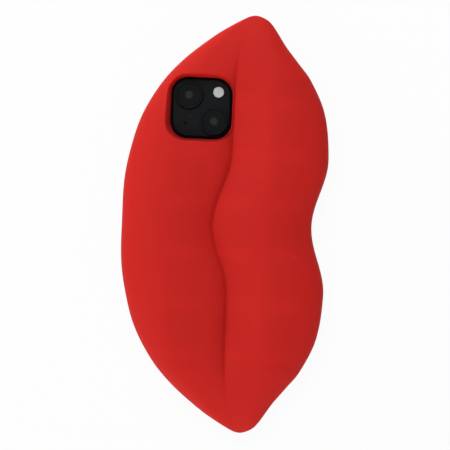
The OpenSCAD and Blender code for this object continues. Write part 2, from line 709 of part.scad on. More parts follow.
module flash_window() at_phone() color("white")
    disc(flash_at, flash_r, rear_ledge_z + 0.3, plateau_z + 0.05);

module flash_board() at_phone() color("darkgreen") {
    disc(flash_at, flash_r + 0.6, plate_lo, plate_lo + 0.4);
    block([flash_at[0] - 1.5, flash_at[1] - 1.5, plate_lo + 0.3],
          [flash_at[0] + 1.5, flash_at[1] + 1.5, rear_ledge_z + 0.25]);
}

module rear_microphone() at_phone() color("gray") {
    disc(mic_at, 1.5, plate_lo, rear_ledge_z - 0.05);
    disc(mic_at, mic_r - 0.1, rear_ledge_z - 0.1, plateau_z - 0.6);
}

// ---- phone: front sensors and sound ----

// Two camera modules and a dot projector on one bracket, looking out through the display glass.
module front_camera_array() at_phone() color("gray") {
    y = in_l - sensor_depth / 2 - 1;
    block([-sensor_w / 2, in_l - sensor_depth, panel_z + 1.1], [sensor_w / 2, in_l - 2, panel_z + 1.6]);
    for (x = [-9.3, 1.2, 9.3]) {
        block([x - 3, in_l - sensor_depth + 0.2, panel_z + 1.5], [x + 3, in_l - 2.2, panel_z + 4]);
        disc([x, y], 1.9, panel_z + 0.1, panel_z + 1.2);
    }
}

module earpiece() at_phone() color("dimgray")
    block([-6, in_l - 1.7, panel_z + 0.1], [6, in_l - 0.2, panel_z + 3.2]);

module loudspeaker() at_phone() color("dimgray")
    translate([(speaker_x + battery_x) / 2, -in_l + 0.3 + speaker_l / 2, 0])
        slab([speaker_x - battery_x, speaker_l], speaker_r, bay_z, bay_top - 0.1);

module speaker_mesh() at_phone() color("black")
    block([-grille_x - (grille_count - 0.5) * grille_pitch, -in_l, mid_z - 1.1],
          [-grille_x + 0.5 * grille_pitch, -in_l + 0.2, mid_z + 1.1]);

module bottom_microphone() at_phone() color("silver")
    block([grille_x - 1.2, -in_l, mid_z - 1.1],
          [grille_x + 2 * grille_pitch + 1.2, -in_l + 1.4, mid_z + 1.1]);

module haptic_case() at_phone() color("silver") translate(haptic_at) difference() {
    block([-haptic_size[0] / 2, -haptic_size[1] / 2, bay_z],
          [haptic_size[0] / 2, haptic_size[1] / 2, bay_z + haptic_size[2]]);
    block([-haptic_size[0] / 2 + haptic_wall, -haptic_size[1] / 2 + haptic_wall, bay_z + haptic_wall],
          [haptic_size[0] / 2 - haptic_wall, haptic_size[1] / 2 - haptic_wall,
           bay_z + haptic_size[2] - haptic_wall]);
}

module haptic_mass() at_phone() color("gray") translate(haptic_at)
    block([-haptic_size[0] / 2 + haptic_end, -haptic_size[1] / 2 + haptic_wall + 0.3,
           bay_z + haptic_wall + 0.15],
          [haptic_size[0] / 2 - haptic_end, haptic_size[1] / 2 - haptic_wall - 0.3,
           bay_z + haptic_size[2] - haptic_wall - 0.15]);

// Two folded leaf springs, one each side of the mass.
module haptic_springs() at_phone() color("silver") translate(haptic_at) for (s = [-1, 1]) {
    outer = haptic_size[0] / 2 - haptic_wall;
    innr = haptic_size[0] / 2 - haptic_end;
    y = haptic_size[1] / 2 - haptic_wall - 0.6;
    translate([0, 0, bay_z + 0.7]) linear_extrude(haptic_size[2] - 1.4) polygon([
        [s * outer, -y], [s * (outer - leaf_t), -y], [s * (innr + leaf_t), y - leaf_t],
        [s * innr, y - leaf_t], [s * innr, y], [s * (innr + leaf_t + 0.1), y]]);
}

// ---- phone: charging port ----

module port_shell() at_phone() color("silver") difference() {
    cross_bar(-half_l + 0.1, -half_l + port_depth, 0, mid_z,
              port_w + 2 * port_wall, port_h + 2 * port_wall);
    cross_bar(-half_l - cut, -half_l + port_depth - 0.8, 0, mid_z, port_w, port_h);
}

module port_contacts() at_phone() color("gold") for (i = [0:7])
    block([(i - 3.5) * contact_pitch - 0.2, -half_l + 2.5, mid_z - port_h / 2],
          [(i - 3.5) * contact_pitch + 0.2, -half_l + port_depth - 0.8, mid_z - port_h / 2 + 0.35]);

module port_flex() at_phone() color("goldenrod")
    block([-4, -half_l + port_depth, bay_z + 0.2], [4, battery_y - 0.4, bay_z + 0.6]);

module port_screws() at_phone() color("silver") for (s = [-1, 1])
    translate([s * port_screw_x, -half_l + 0.1, mid_z]) rotate([-90, 0, 0]) difference() {
        union() {
            cylinder(r = screw_head_r, h = 0.8);
            cylinder(r = screw_shank_r, h = 0.8 + screw_len);
        }
        translate([0, 0, -cut]) cylinder(r = 0.45, h = cut + 0.45, $fn = 5);
    }

// ---- buttons ----

// A cap along the band, its flange inside the band and its nub. It faces +X.
module press_button(y, len) {
    bar(in_w - 0.3, half_w + cap_proud, y, mid_z, len, cap_h);
    bar(in_w - fit - flange_t, in_w - fit, y, mid_z, len + 2 * flange_w, cap_h + 2 * flange_w);
    translate([in_w - fit - flange_t - nub_len, y, mid_z]) rotate([0, 90, 0])
        cylinder(r = 0.8, h = nub_len + 0.1);
}

module side_button() at_phone() color("darkslategray") mirror([1, 0, 0]) press_button(side_y, side_len);
module volume_up_button() at_phone() color("darkslategray") press_button(volume_up_y, volume_len);
module volume_down_button() at_phone() color("darkslategray") press_button(volume_down_y, volume_len);

switch_x = in_w - fit - flange_t - nub_len - switch_gap;

module press_switch(y) {
    block([switch_x - 0.9, y - 2, mid_z - 1.5], [switch_x - 0.2, y + 2, mid_z + 1.5]);
    translate([switch_x - 0.25, y, mid_z]) rotate([0, 90, 0]) cylinder(r = 1.1, h = 0.25);
}

module button_switches() at_phone() color("silver") {
    for (y = [volume_up_y, volume_down_y]) press_switch(y);
    mirror([1, 0, 0]) press_switch(side_y);
}

// Steel brackets that carry the switches, hung from the middle plate.
module button_brackets() at_phone() color("gray") {
    block([switch_x - 1.2, volume_down_y - 5, mid_z - 1.7], [switch_x - 0.9, volume_up_y + 5, bay_top]);
    mirror([1, 0, 0])
        block([switch_x - 1.2, side_y - 6, mid_z - 1.7], [switch_x - 0.9, side_y + 6, bay_top]);
}

// Rubber frames glued to the band's inner face, round the flange of each button.
module button_seals() at_phone() color("black") {
    for (p = [[volume_up_y, volume_len, 0], [volume_down_y, volume_len, 0], [side_y, side_len, 1]])
        mirror([p[2], 0, 0]) difference() {
            bar(in_w - 0.8, in_w, p[0], mid_z, p[1] + seal_gap + 0.9, cap_h + seal_gap + 0.9);
            bar(in_w - 0.8 - cut, in_w + cut, p[0], mid_z, p[1] + seal_gap, cap_h + seal_gap);
        }
}

module ring_switch() at_phone() color("orangered") {
    z = mid_z - ring_travel / 2;
    block([in_w - 0.4, ring_y - ring_lever[0] / 2, z - ring_lever[1] / 2],
          [half_w + 0.4, ring_y + ring_lever[0] / 2, z + ring_lever[1] / 2]);
    block([in_w - 1.6, ring_y - 4, z - 0.8], [in_w - 0.2, ring_y + 4, z + 0.8]);
}

module ring_switch_base() at_phone() color("black") {
    block([in_w - 3, ring_y - 4.6, bay_z], [in_w - 1.8, ring_y + 4.6, bay_top]);
}

lip_case();
screen_lip();
frame();
antenna_bands();
back_glass();
display_glass();
display_panel();
display_shield();
display_seal();
battery();
battery_glue();
battery_flex();
logic_board();
board_shields();
board_screws();
charging_coil();
magnet_ring();
main_camera();
main_lens();
main_lens_ring();
main_lens_cover();
wide_camera();
wide_lens();
wide_lens_ring();
wide_lens_cover();
camera_bracket();
flash_window();
flash_board();
rear_microphone();
front_camera_array();
earpiece();
loudspeaker();
speaker_mesh();
bottom_microphone();
haptic_case();
haptic_mass();
haptic_springs();
port_shell();
port_contacts();
port_flex();
port_screws();
sim_tray();
sim_card();
sim_reader();
side_button();
volume_up_button();
volume_down_button();
ring_switch();
ring_switch_base();
button_seals();
button_switches();
button_brackets();
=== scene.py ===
import json
import math

import bmesh
import bpy
import numpy as np
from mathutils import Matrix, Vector
from mathutils.geometry import delaunay_2d_cdt


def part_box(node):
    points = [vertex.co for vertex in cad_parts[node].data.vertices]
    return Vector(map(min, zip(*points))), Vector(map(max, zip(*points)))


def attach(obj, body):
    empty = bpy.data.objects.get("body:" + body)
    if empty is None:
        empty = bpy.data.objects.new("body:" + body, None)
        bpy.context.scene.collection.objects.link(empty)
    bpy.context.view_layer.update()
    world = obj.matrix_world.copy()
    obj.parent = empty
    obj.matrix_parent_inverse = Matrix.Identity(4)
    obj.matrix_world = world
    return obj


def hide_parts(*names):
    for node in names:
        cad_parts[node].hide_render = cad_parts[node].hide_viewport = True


bl_info = {
    "name": "Lips telephone dresser",
    "version": (1, 0, 0),
    "blender": (4, 5, 0),
    "location": "View3D > Sidebar > Lips telephone",
    "description": "Builds the soft case, the cameras and the finishes of a lips shaped telephone",
    "category": "Object",
}

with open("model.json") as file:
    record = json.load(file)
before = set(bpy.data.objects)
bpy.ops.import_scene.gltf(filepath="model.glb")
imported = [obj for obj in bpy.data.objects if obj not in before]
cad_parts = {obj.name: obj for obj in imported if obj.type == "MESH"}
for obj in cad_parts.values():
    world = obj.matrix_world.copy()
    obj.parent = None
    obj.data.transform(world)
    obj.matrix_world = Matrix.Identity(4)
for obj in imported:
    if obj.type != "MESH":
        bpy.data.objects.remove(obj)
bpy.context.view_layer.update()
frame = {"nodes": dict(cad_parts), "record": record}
MM = 0.001

WELD = 2e-6       # points nearer than this, in metres, are joined
SLIVER = 1e-7     # edges shorter than this, in metres, are dropped
SHARP = 35.0      # turn between two faces, in degrees, at which an edge stays sharp


# ---------------------------------------------------------------- places taken from the frame

def centre(node):
    """Middle of a frame part's box, in millimetres."""
    low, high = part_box(node)
    return (low + high) / (2 * MM)


def size(node):
    """Size of a frame part's box, in millimetres."""
    low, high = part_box(node)
    return (high - low) / MM


def edge(node, axis, high=True):
    """Place of a frame part's far or near side along one axis, in millimetres."""
    low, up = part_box(node)
    return (up if high else low)[axis] / MM


def level(node, top=True):
    """Height of a frame part's top or underside, in millimetres."""
    return edge(node, 2, top)


# Sizes of the phone that its parts' boxes don't tell, in millimetres.
PHONE_ROUND = 11.0
GLASS_PROUD = 0.2
PLATEAU_W = 29.0
PLATEAU_ROUND = 8.0
PLATEAU_INSET = 2.9
RING_R = 6.9
RING_RISE = 1.1
FLOOR_GAP = 0.2

PHONE_X = centre("frame").x
HALF_W = size("frame").x / 2
HALF_L = size("frame").y / 2
HALF = edge("lip_case", 1)
LOWER_REACH = PHONE_X - edge("lip_case", 0, high=False)
LOWER_CREST = level("lip_case")
BACK_Z = level("frame") + GLASS_PROUD
POCKET_Z = BACK_Z + FLOOR_GAP
PLATEAU_Z = level("main_lens_ring") - RING_RISE
PLATEAU_X = -HALF_W + PLATEAU_INSET + PLATEAU_W / 2
PLATEAU_Y = HALF_L - PLATEAU_INSET - PLATEAU_W / 2


# ---------------------------------------------------------------- what a user may change

def length(name, description, default, **more):
    """A length property, whose default is given in millimetres."""
    return bpy.props.FloatProperty(
        name=name, description=description, default=default * MM, unit="LENGTH", precision=5, **more)


def colour(name, description, default):
    """A colour property."""
    return bpy.props.FloatVectorProperty(
        name=name, description=description, default=default, size=3, subtype="COLOR", min=0, max=1)


class LipShape(bpy.types.PropertyGroup):
    """Form of the soft case, in the terms of its mould."""

    upper_reach: length("Upper lip reach", "Upper lip's edge, from the phone's centreline", 44.9)
    wall_height: length("Edge wall", "Height of the upright wall below the domes", 7.6)
    upper_crest: length("Upper crest", "Height of the upper lip at mid length", 17.6)
    tip_height: length("Tip height", "Height of the lips at their tips", 9.2)
    crease_soft: length("Crease softness", "Half the width over which the crease is rounded", 0.5)
    crease_reach: length("Crease reach", "How far the rounding reaches off the mouth line", 2.5)
    mouth_depth: length("Mouth depth", "Depth of the mouth line below the crests", 6.2)
    bead_push: length("Bead push", "How far the upper lip's bead pushes into the lower lip", 8.3)
    bead_half: length("Bead half length", "Half the length of the bead along the mouth", 35)
    bow_depth: length("Bow depth", "Depth of the bow in the upper lip's edge", 7)
    bow_half: length("Bow half length", "Half the length of the bow along the mouth", 34)
    tip_radius: length("Tip radius", "Radius of the tips, seen from above", 5)
    tip_offset: length("Tip offset", "Offset of the tips from the phone's centreline", 6.5)
    rim_radius: length("Rim radius", "Radius of the rim that the case rests on", 1.1)
    pocket_gap: length("Pocket gap", "Gap between the phone's sides and the pocket", 0.3)
    window_gap: length("Window gap", "Gap between the camera plateau and the window", 0.5)
    window_round: length("Window rounding", "Reach of the soft edge round the window", 0.8)
    window_lean: length("Window lean", "Shift of the window's flare towards the mouth", 8)
    window_flare: bpy.props.FloatProperty(
        name="Window flare", description="Slope of the window's wall", default=0.17, min=0, max=0.5)
    rows: bpy.props.IntProperty(
        name="Rows", description="Rows from the middle to each tip", default=120, min=20, max=300)
    columns: bpy.props.IntProperty(
        name="Columns", description="Columns over each quarter of a row", default=26, min=6, max=80)


class FinishLook(bpy.types.PropertyGroup):
    """Colours of what shows."""

    silicone: colour("Silicone", "Colour of the soft case", (0.602, 0.0182, 0.0140))
    glass: colour("Back glass", "Colour of the coated back glass", (0.0068, 0.0078, 0.0088))
    metal: colour("Band metal", "Colour of the anodised band", (0.030, 0.032, 0.036))
    ring: colour("Ring metal", "Colour of the lens rings", (0.015, 0.016, 0.018))
    flash: colour("Flash lens", "Colour of the frosted flash lens", (0.55, 0.60, 0.60))
    accent: colour("Switch accent", "Colour of the ring switch's marked side", (0.70, 0.13, 0.02))


class StageLook(bpy.types.PropertyGroup):
    """Camera, lamps and floor."""

    distance: length("Camera distance", "Height of the camera above the case's edge", 1200)
    view_width: length("View width", "Width of the view at the case's edge", 221.2)
    aim: bpy.props.FloatVectorProperty(
        name="Aim", description="Point of the table in the middle of the view",
        default=(0.00059, -0.0008), size=2, unit="LENGTH", precision=5)
    lean: bpy.props.FloatProperty(
        name="Lean", description="Turn of the camera about its own axis",
        default=math.radians(2.3), subtype="ANGLE")
    lamp_power: bpy.props.FloatProperty(
        name="Lamp power", description="Power of a lamp whose share is 1", default=1.0, min=0)
    lamp_reach: bpy.props.FloatProperty(
        name="Lamp distance", description="Distance of the lamps from the case",
        default=1.25, subtype="DISTANCE")
    sky: bpy.props.FloatProperty(
        name="Sky", description="Strength of the even light from all round", default=0.03, min=0)


def mm(value):
    """A length property in millimetres."""
    return value / MM


# ---------------------------------------------------------------- meshes

def inside(points, loop):
    """Which points lie inside a closed loop, in plan."""
    x, y = points[:, 0, None], points[:, 1, None]
    ax, ay = loop[:, 0], loop[:, 1]
    bx, by = np.roll(ax, -1), np.roll(ay, -1)
    crosses = (ay > y) != (by > y)
    with np.errstate(divide="ignore", invalid="ignore"):
        at = ax + (y - ay) / (by - ay) * (bx - ax)
    return (crosses & (x < at)).sum(1) % 2 == 1


def at_height(loop, z):
    """A plan loop lifted to one height, or to a height for each point."""
    return np.column_stack([loop[:, 0], loop[:, 1], np.broadcast_to(z, len(loop))])


def rounded_loop(middle, half, radius, arc=10, side=14):
    """A rectangle with round corners: its points anticlockwise, and its outward normals, in plan."""
    corners = ((1, 1), (-1, 1), (-1, -1), (1, -1))
    points, normals = [], []

    def on_corner(corner, turn):
        """The point of a corner's arc that faces a direction."""
        sx, sy = corners[corner % 4]
        return (middle[0] + sx * (half[0] - radius) + radius * math.cos(turn),
                middle[1] + sy * (half[1] - radius) + radius * math.sin(turn))

    for quarter in range(4):
        for k in range(arc + 1):
            turn = math.pi / 2 * (quarter + k / arc)
            normals.append((math.cos(turn), math.sin(turn)))
            points.append(on_corner(quarter, turn))
        start, following = points[-1], on_corner(quarter + 1, turn)
        for k in range(1, side):
            t = k / side
            normals.append(normals[-1])
            points.append((start[0] + (following[0] - start[0]) * t,
                           start[1] + (following[1] - start[1]) * t))
    return np.array(points), np.array(normals)


def circle_loop(middle, radius, count=48):
    """A circle in plan, anticlockwise."""
    a = np.arange(count) * 2 * np.pi / count
    return np.column_stack([middle[0] + radius * np.cos(a), middle[1] + radius * np.sin(a)])


def edit_mesh(mesh, change, source=None):
    """Makes changes to a mesh, which starts as a copy of the source where one is given."""
    opened = bmesh.new()
    opened.from_mesh(source or mesh)
    change(opened)
    opened.to_mesh(mesh)
    opened.free()


def soften(opened, sharp):
    """Smooth faces, with creases where the surface turns by more than the given degrees."""
    for face in opened.faces:
        face.smooth = True
    for seam in opened.edges:
        seam.smooth = len(seam.link_faces) != 2 or seam.calc_face_angle(0) < math.radians(sharp)


class Patchwork:
    """Points and faces in millimetres, welded into one mesh at the end."""

    def __init__(self):
        self.points = []
        self.faces = []

    def add(self, points, faces):
        """Adds a patch with its own numbering."""
        start = len(self.points)
        self.points.extend(tuple(float(c) for c in p) for p in points)
        self.faces.extend([start + i for i in face] for face in faces)

    def grid(self, rows, around=False, skip=None):
        """Adds quads between rows of points. Skipped cells are left open."""
        rows = np.asarray(rows, float)
        tall, wide = rows.shape[:2]
        last = wide if around else wide - 1
        faces = [(i * wide + j, i * wide + (j + 1) % wide, (i + 1) * wide + (j + 1) % wide,
                  (i + 1) * wide + j)
                 for i in range(tall - 1) for j in range(last) if skip is None or not skip[i, j]]
        self.add(rows.reshape(-1, 3), faces)

    def fill(self, outer, holes=()):
        """Adds triangles between a loop and the holes in it. Points keep their own heights."""
        loops = [np.asarray(loop, float) for loop in (outer, *holes)]
        points = np.vstack(loops)
        links, start = [], 0
        for loop in loops:
            links += [(start + i, start + (i + 1) % len(loop)) for i in range(len(loop))]
            start += len(loop)
        made = delaunay_2d_cdt([Vector(p[:2]) for p in points], links, [], 0, 1e-6)
        source = np.array([origin[0] for origin in made[3]])
        triangles = source[np.array(made[2])]
        middles = points[triangles].mean(1)
        keep = inside(middles, loops[0])
        for hole in loops[1:]:
            keep &= ~inside(middles, hole)
        self.add(points, triangles[keep].tolist())

    def object(self, name, material):
        """The finished piece, in metres and at the origin."""
        mesh = bpy.data.meshes.new(name)
        mesh.from_pydata([tuple(c * MM for c in p) for p in self.points], [], self.faces)

        def weld(opened):
            """Joins the patches and turns their faces outwards."""
            bmesh.ops.remove_doubles(opened, verts=opened.verts, dist=WELD)
            bmesh.ops.dissolve_degenerate(opened, edges=opened.edges, dist=SLIVER)
            loose = [v for v in opened.verts if not v.link_faces]
            bmesh.ops.delete(opened, geom=loose, context="VERTS")
            bmesh.ops.recalc_face_normals(opened, faces=opened.faces)
            soften(opened, SHARP)

        edit_mesh(mesh, weld)
        return placed(name, mesh, material)


def placed(name, mesh, material):
    """An object for a mesh, in the scene, with its material."""
    mesh.materials.clear()
    mesh.materials.append(material)
    piece = bpy.data.objects.new(name, mesh)
    bpy.context.scene.collection.objects.link(piece)
    return piece


def settled(piece, sharp=SHARP):
    """The piece with its modifiers made into plain mesh."""
    bpy.context.view_layer.update()
    seen = piece.evaluated_get(bpy.context.evaluated_depsgraph_get())
    mesh = bpy.data.meshes.new_from_object(seen)
    piece.modifiers.clear()
    piece.data = mesh
    edit_mesh(mesh, lambda opened: soften(opened, sharp))
    return piece


def turned(name, middle, profile, material, count=96):
    """A turned piece, whose profile of (radius, height) is closed on itself or on its axis."""
    on_axis = 0.0004
    patch = Patchwork()
    patch.grid([at_height(circle_loop(middle, max(radius, on_axis), count), z)
                for radius, z in profile], around=True)
    return patch.object(name, material)


def stand_in(piece, node, body):
    """Puts a piece in the place of a frame part, on its body."""
    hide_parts(node)
    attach(piece, body)
    return piece


def rounded_copy(node, name, width, body, slot, segments=2):
    """A copy of a frame part with its hard edges rounded, which stands for it."""
    flat, hard = math.radians(0.6), math.radians(40)

    def join_flats(opened):
        """Joins the triangles of each flat face."""
        bmesh.ops.remove_doubles(opened, verts=opened.verts, dist=WELD)
        bmesh.ops.dissolve_limit(opened, angle_limit=flat, verts=opened.verts, edges=opened.edges)
        bmesh.ops.recalc_face_normals(opened, faces=opened.faces)

    mesh = bpy.data.meshes.new(name)
    edit_mesh(mesh, join_flats, frame["nodes"][node].data)
    piece = placed(name, mesh, finish(slot))
    bevel = piece.modifiers.new("Rounded edges", "BEVEL")
    bevel.width = width * MM
    bevel.segments = segments
    bevel.limit_method = "ANGLE"
    bevel.angle_limit = hard
    bevel.use_clamp_overlap = True
    return stand_in(settled(piece), node, body)


# ---------------------------------------------------------------- node trees

class Wire:
    """A value on its way through a node tree, which takes part in sums."""

    def __init__(self, tree, socket):
        self.tree = tree
        self.socket = socket

    def maths(self, operation, *values):
        """A Math node that is fed by the values in turn."""
        return self.tree.node("ShaderNodeMath", {"operation": operation}, dict(enumerate(values)))

    def __add__(self, other):
        return self.maths("ADD", self, other)

    __radd__ = __add__

    def __sub__(self, other):
        return self.maths("SUBTRACT", self, other)

    def __rsub__(self, other):
        return self.maths("SUBTRACT", other, self)

    def __mul__(self, other):
        return self.maths("MULTIPLY", self, other)

    __rmul__ = __mul__

    def __rtruediv__(self, other):
        return self.maths("DIVIDE", other, self)

    def __pow__(self, other):
        return self.maths("POWER", self, other)

    def __abs__(self):
        return self.maths("ABSOLUTE", self)

    def cosine(self):
        """Cosine of an angle in radians."""
        return self.maths("COSINE", self)


class Tree:
    """A node tree while it is being built."""

    def __init__(self, tree):
        self.tree = tree

    def node(self, kind, settings=None, inputs=None, output=0):
        """Adds a node: its settings first, then what its sockets hold or are fed by."""
        made = self.tree.nodes.new(kind)
        for key, value in (settings or {}).items():
            if key == "stops":
                self.set_stops(made.color_ramp, value)
            else:
                setattr(made, key, value)
        for key, value in (inputs or {}).items():
            self.feed(made.inputs[key], value)
        return Wire(self, made.outputs[output])

    def feed(self, socket, value):
        """Links a wire to a socket, or sets the socket's own value."""
        if isinstance(value, Wire):
            self.tree.links.new(value.socket, socket)
        else:
            socket.default_value = value

    @staticmethod
    def set_stops(ramp, stops):
        """Gives a ramp its stops of (place, brightness)."""
        for _ in range(len(stops) - len(ramp.elements)):
            ramp.elements.new(0.5)
        for stop, (at, tone) in zip(ramp.elements, stops):
            stop.position = at
            stop.color = (tone, tone, tone, 1)


# ---------------------------------------------------------------- materials

BLACK = (0.0, 0.0, 0.0)


class Shade(Tree):
    """One material while it is being built."""

    def __init__(self, name):
        self.material = bpy.data.materials.new(name)
        self.material.use_nodes = True
        super().__init__(self.material.node_tree)
        self.tree.nodes.clear()
        self.output = self.tree.nodes.new("ShaderNodeOutputMaterial")
        self.shader = self.tree.nodes.new("ShaderNodeBsdfPrincipled")
        self.tree.links.new(self.shader.outputs[0], self.output.inputs[0])
        self.place = self.node("ShaderNodeTexCoord", output="Object")

    def along(self, axis):
        """The place along one axis, in metres."""
        return self.node("ShaderNodeSeparateXYZ", None, {0: self.place}, output=axis)

    def clamped(self, value):
        """A value held between 0 and 1."""
        return self.node("ShaderNodeClamp", None, {0: value})

    def vector(self, operation, *vectors, output=0):
        """A Vector Math node that is fed by the vectors in turn."""
        return self.node("ShaderNodeVectorMath", {"operation": operation}, dict(enumerate(vectors)),
                         output)

    def ramp(self, value, *stops):
        """A value read through a ramp with stops of (place, brightness)."""
        return self.node("ShaderNodeValToRGB", {"stops": stops}, {0: value})

    def noise(self, scale, detail=2.0, rough=0.5, stretch=None):
        """Cloudy noise on the object's own place. Stretch squeezes it along each axis."""
        place = self.place
        if stretch:
            place = self.node("ShaderNodeMapping", None, {"Vector": place, "Scale": stretch})
        return self.node("ShaderNodeTexNoise", None,
                         {"Vector": place, "Scale": scale, "Detail": detail, "Roughness": rough})

    def waves(self, direction, scale, **more):
        """Even bands, from 0 to 1 and back, across one direction."""
        return self.node("ShaderNodeTexWave", {"bands_direction": direction},
                         {"Vector": self.place, "Scale": scale, **more})

    def specks(self, scale, low, high):
        """Sparse specks: 1 at a speck and 0 elsewhere."""
        return self.ramp(self.noise(scale, 1.0), (low, 0.0), (high, 1.0))

    def mix(self, factor, first, second):
        """One colour turning into another."""
        return self.node("ShaderNodeMix", {"data_type": "RGBA"},
                         {0: factor, 6: full(first), 7: full(second)}, output=2)

    def varied(self, factor, tone, low, high):
        """A colour that varies between a darker and a lighter share of itself."""
        return self.mix(factor, scaled(tone, low), scaled(tone, high))

    def spot(self, node, inner, outer):
        """A mask that is 1 at the middle of a round piece and fades out over its radius."""
        low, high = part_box(node)
        middle = (low + high) / 2
        away = self.vector("SUBTRACT", self.place, (middle.x, middle.y, high.z))
        radius = self.vector("LENGTH", away, output=1)
        return self.ramp(radius * (2 / (high.x - low.x)), (inner, 1.0), (outer, 0.0))

    def plateau(self, reach, blur):
        """A mask that is 1 on the camera plateau and fades out reach millimetres off its edge."""
        straight = (PLATEAU_W / 2 - PLATEAU_ROUND) * MM
        middle = ((PHONE_X + PLATEAU_X) * MM, PLATEAU_Y * MM, 0)
        far = self.vector("MULTIPLY", self.vector("SUBTRACT", self.place, middle), (1, 1, 0))
        far = self.vector("SUBTRACT", self.vector("ABSOLUTE", far), (straight, straight, 0))
        far = self.vector("LENGTH", self.vector("MAXIMUM", far, (0, 0, 0)), output=1)
        return self.clamped(((PLATEAU_ROUND + reach) * MM - far) * (1 / (blur * MM)) + 0.5)

    def bump(self, height, distance, strength=1.0):
        """Surface relief, whose distance is in millimetres."""
        return self.node("ShaderNodeBump", None,
                         {"Height": height, "Distance": distance * MM, "Strength": strength})

    def surface(self, **sockets):
        """Sets the shader's sockets, with underscores for the spaces in their names."""
        for key, value in sockets.items():
            self.feed(self.shader.inputs[key.replace("_", " ")], value)
        return self.material


def full(tone):
    """A colour with its alpha, or a wire as it is."""
    return tone if isinstance(tone, Wire) else (*tone, 1.0)


def scaled(tone, by):
    """A colour made lighter or darker."""
    return tuple(min(1.0, c * by) for c in tone)


def soft_silicone(name, tone):
    """Soft touch silicone: a shade darker over the hollow cells inside, a fine mould grain and a
    little lint. Round the window the colour holds painted light and shade: a painted deeper red on
    the wall, a painted glow on the upper left wall, where lamps would shine through the thin
    silicone, and painted shade on the bottom and right walls, which face away from the lamps."""
    shade = Shade(name)
    rib_pitch, rib_at, slack, side = 24.6, (13.3, 10.0), 1, PLATEAU_W * 0.35

    def spread(axis, first, reach):
        """How far a point is from the ribs along one axis, and how far inside the pocket."""
        at = shade.along(axis)
        phase = (at - first * MM) * (2 * math.pi / (rib_pitch * MM))
        rib = (0.5 + 0.5 * phase.cosine()) ** 4
        away = abs(at - (PHONE_X * MM if axis == 0 else 0.0))
        return (1.0 - rib) * shade.clamped((reach * MM - away) * (0.2 / MM))

    def beyond(axis, start, slope):
        """How far a point is past a place on one axis, from 0 to 1."""
        return shade.clamped((shade.along(axis) - start * MM) * (slope / MM))

    cell = (spread(0, PHONE_X + rib_at[0], HALF_W + slack)
            * spread(1, rib_at[1], HALF_L + slack))
    grain = shade.noise(2400, 2)
    lint = shade.specks(420, 0.72, 0.78)
    body = shade.varied(shade.noise(26, 3), tone, 0.97, 1.03)
    body = shade.mix(cell * 0.05, body, BLACK)
    wall = shade.plateau(1.9, 0.9)
    below = beyond(1, PLATEAU_Y - side, -0.3)
    right = beyond(0, PHONE_X + PLATEAU_X + side, 0.3)
    left = beyond(0, PHONE_X + PLATEAU_X - side, -0.3)
    high = beyond(2, 10.5, 0.25)
    # Painted light and shade round the window: a deeper red on the wall, a glow on the upper left wall,
    # and shade on the bottom and right walls.
    body = shade.mix(wall * 0.5, body, (0.70, 0.0, 0.0))
    body = shade.mix(wall * left * high * 0.8, body, (1.0, 0.0, 0.0))
    body = shade.mix(wall * (below * 0.50 + right * 0.25), body, BLACK)
    return shade.surface(
        Base_Color=shade.mix(lint * 0.02, body, (0.75, 0.30, 0.28)),
        Roughness=0.55 + 0.08 * shade.noise(90, 3) + 0.06 * grain,
        Normal=shade.bump(grain + 0.5 * shade.noise(700, 2), 0.02, 0.6),
        Specular_IOR_Level=0.08, Sheen_Weight=0.05, Sheen_Roughness=0.40,
        Sheen_Tint=(1.0, 0.72, 0.70, 1.0))


def coated_glass(name, tone, rough, level=0.3, coat=0.0, plateau=False):
    """Dark coated glass with faint smears and dust. Where it has the camera plateau, painted shade
    makes it black at the plateau's edge and in the microphone's hole."""
    shade = Shade(name)
    smear = shade.noise(55, 4, 0.6)
    dust = shade.specks(900, 0.73, 0.78)
    body = shade.varied(smear, tone, 0.9, 1.12)
    if plateau:
        # Painted shade: black round the plateau's edge and in the microphone's hole.
        rim = 1.0 - shade.plateau(-1.0, 0.4)
        body = shade.mix(rim * 0.85, body, BLACK)
        body = shade.mix(shade.spot("rear_microphone", 0.45, 0.95), body, BLACK)
    return shade.surface(
        Base_Color=shade.mix(dust * 0.25, body, (0.20, 0.20, 0.21)),
        Roughness=rough + 0.10 * smear,
        Normal=shade.bump(shade.noise(1500, 2), 0.004, 0.4),
        Specular_IOR_Level=level, Coat_Weight=coat, Coat_Roughness=0.05)


def bead_blasted(name, tone, rough=0.38):
    """Anodised metal with a fine blasted grain and lighter flecks."""
    shade = Shade(name)
    grain = shade.noise(3200, 2)
    fleck = shade.specks(700, 0.70, 0.77)
    return shade.surface(
        Base_Color=shade.mix(fleck * 0.3, shade.varied(grain, tone, 0.85, 1.2), scaled(tone, 3.0)),
        Metallic=0.85, Roughness=rough + 0.12 * shade.noise(240, 3),
        Normal=shade.bump(grain, 0.012, 0.5))


def brushed(name, tone, rough=0.3, along=0):
    """Brushed metal, with its lines along one axis."""
    shade = Shade(name)
    stretch = [1.0, 1.0, 1.0]
    stretch[along] = 0.04
    lines = shade.noise(2600, 3, 0.6, tuple(stretch))
    return shade.surface(
        Base_Color=shade.varied(lines, tone, 0.82, 1.12),
        Metallic=1.0, Roughness=rough + 0.16 * lines,
        Normal=shade.bump(lines, 0.006, 0.5))


def moulded(name, tone, rough=0.5, grain_size=1500, level=0.4):
    """Moulded plastic or rubber with a spark eroded grain."""
    shade = Shade(name)
    grain = shade.noise(grain_size, 3)
    return shade.surface(
        Base_Color=shade.varied(shade.noise(120, 3), tone, 0.88, 1.14),
        Roughness=rough + 0.12 * grain,
        Normal=shade.bump(grain, 0.015, 0.6), Specular_IOR_Level=level)


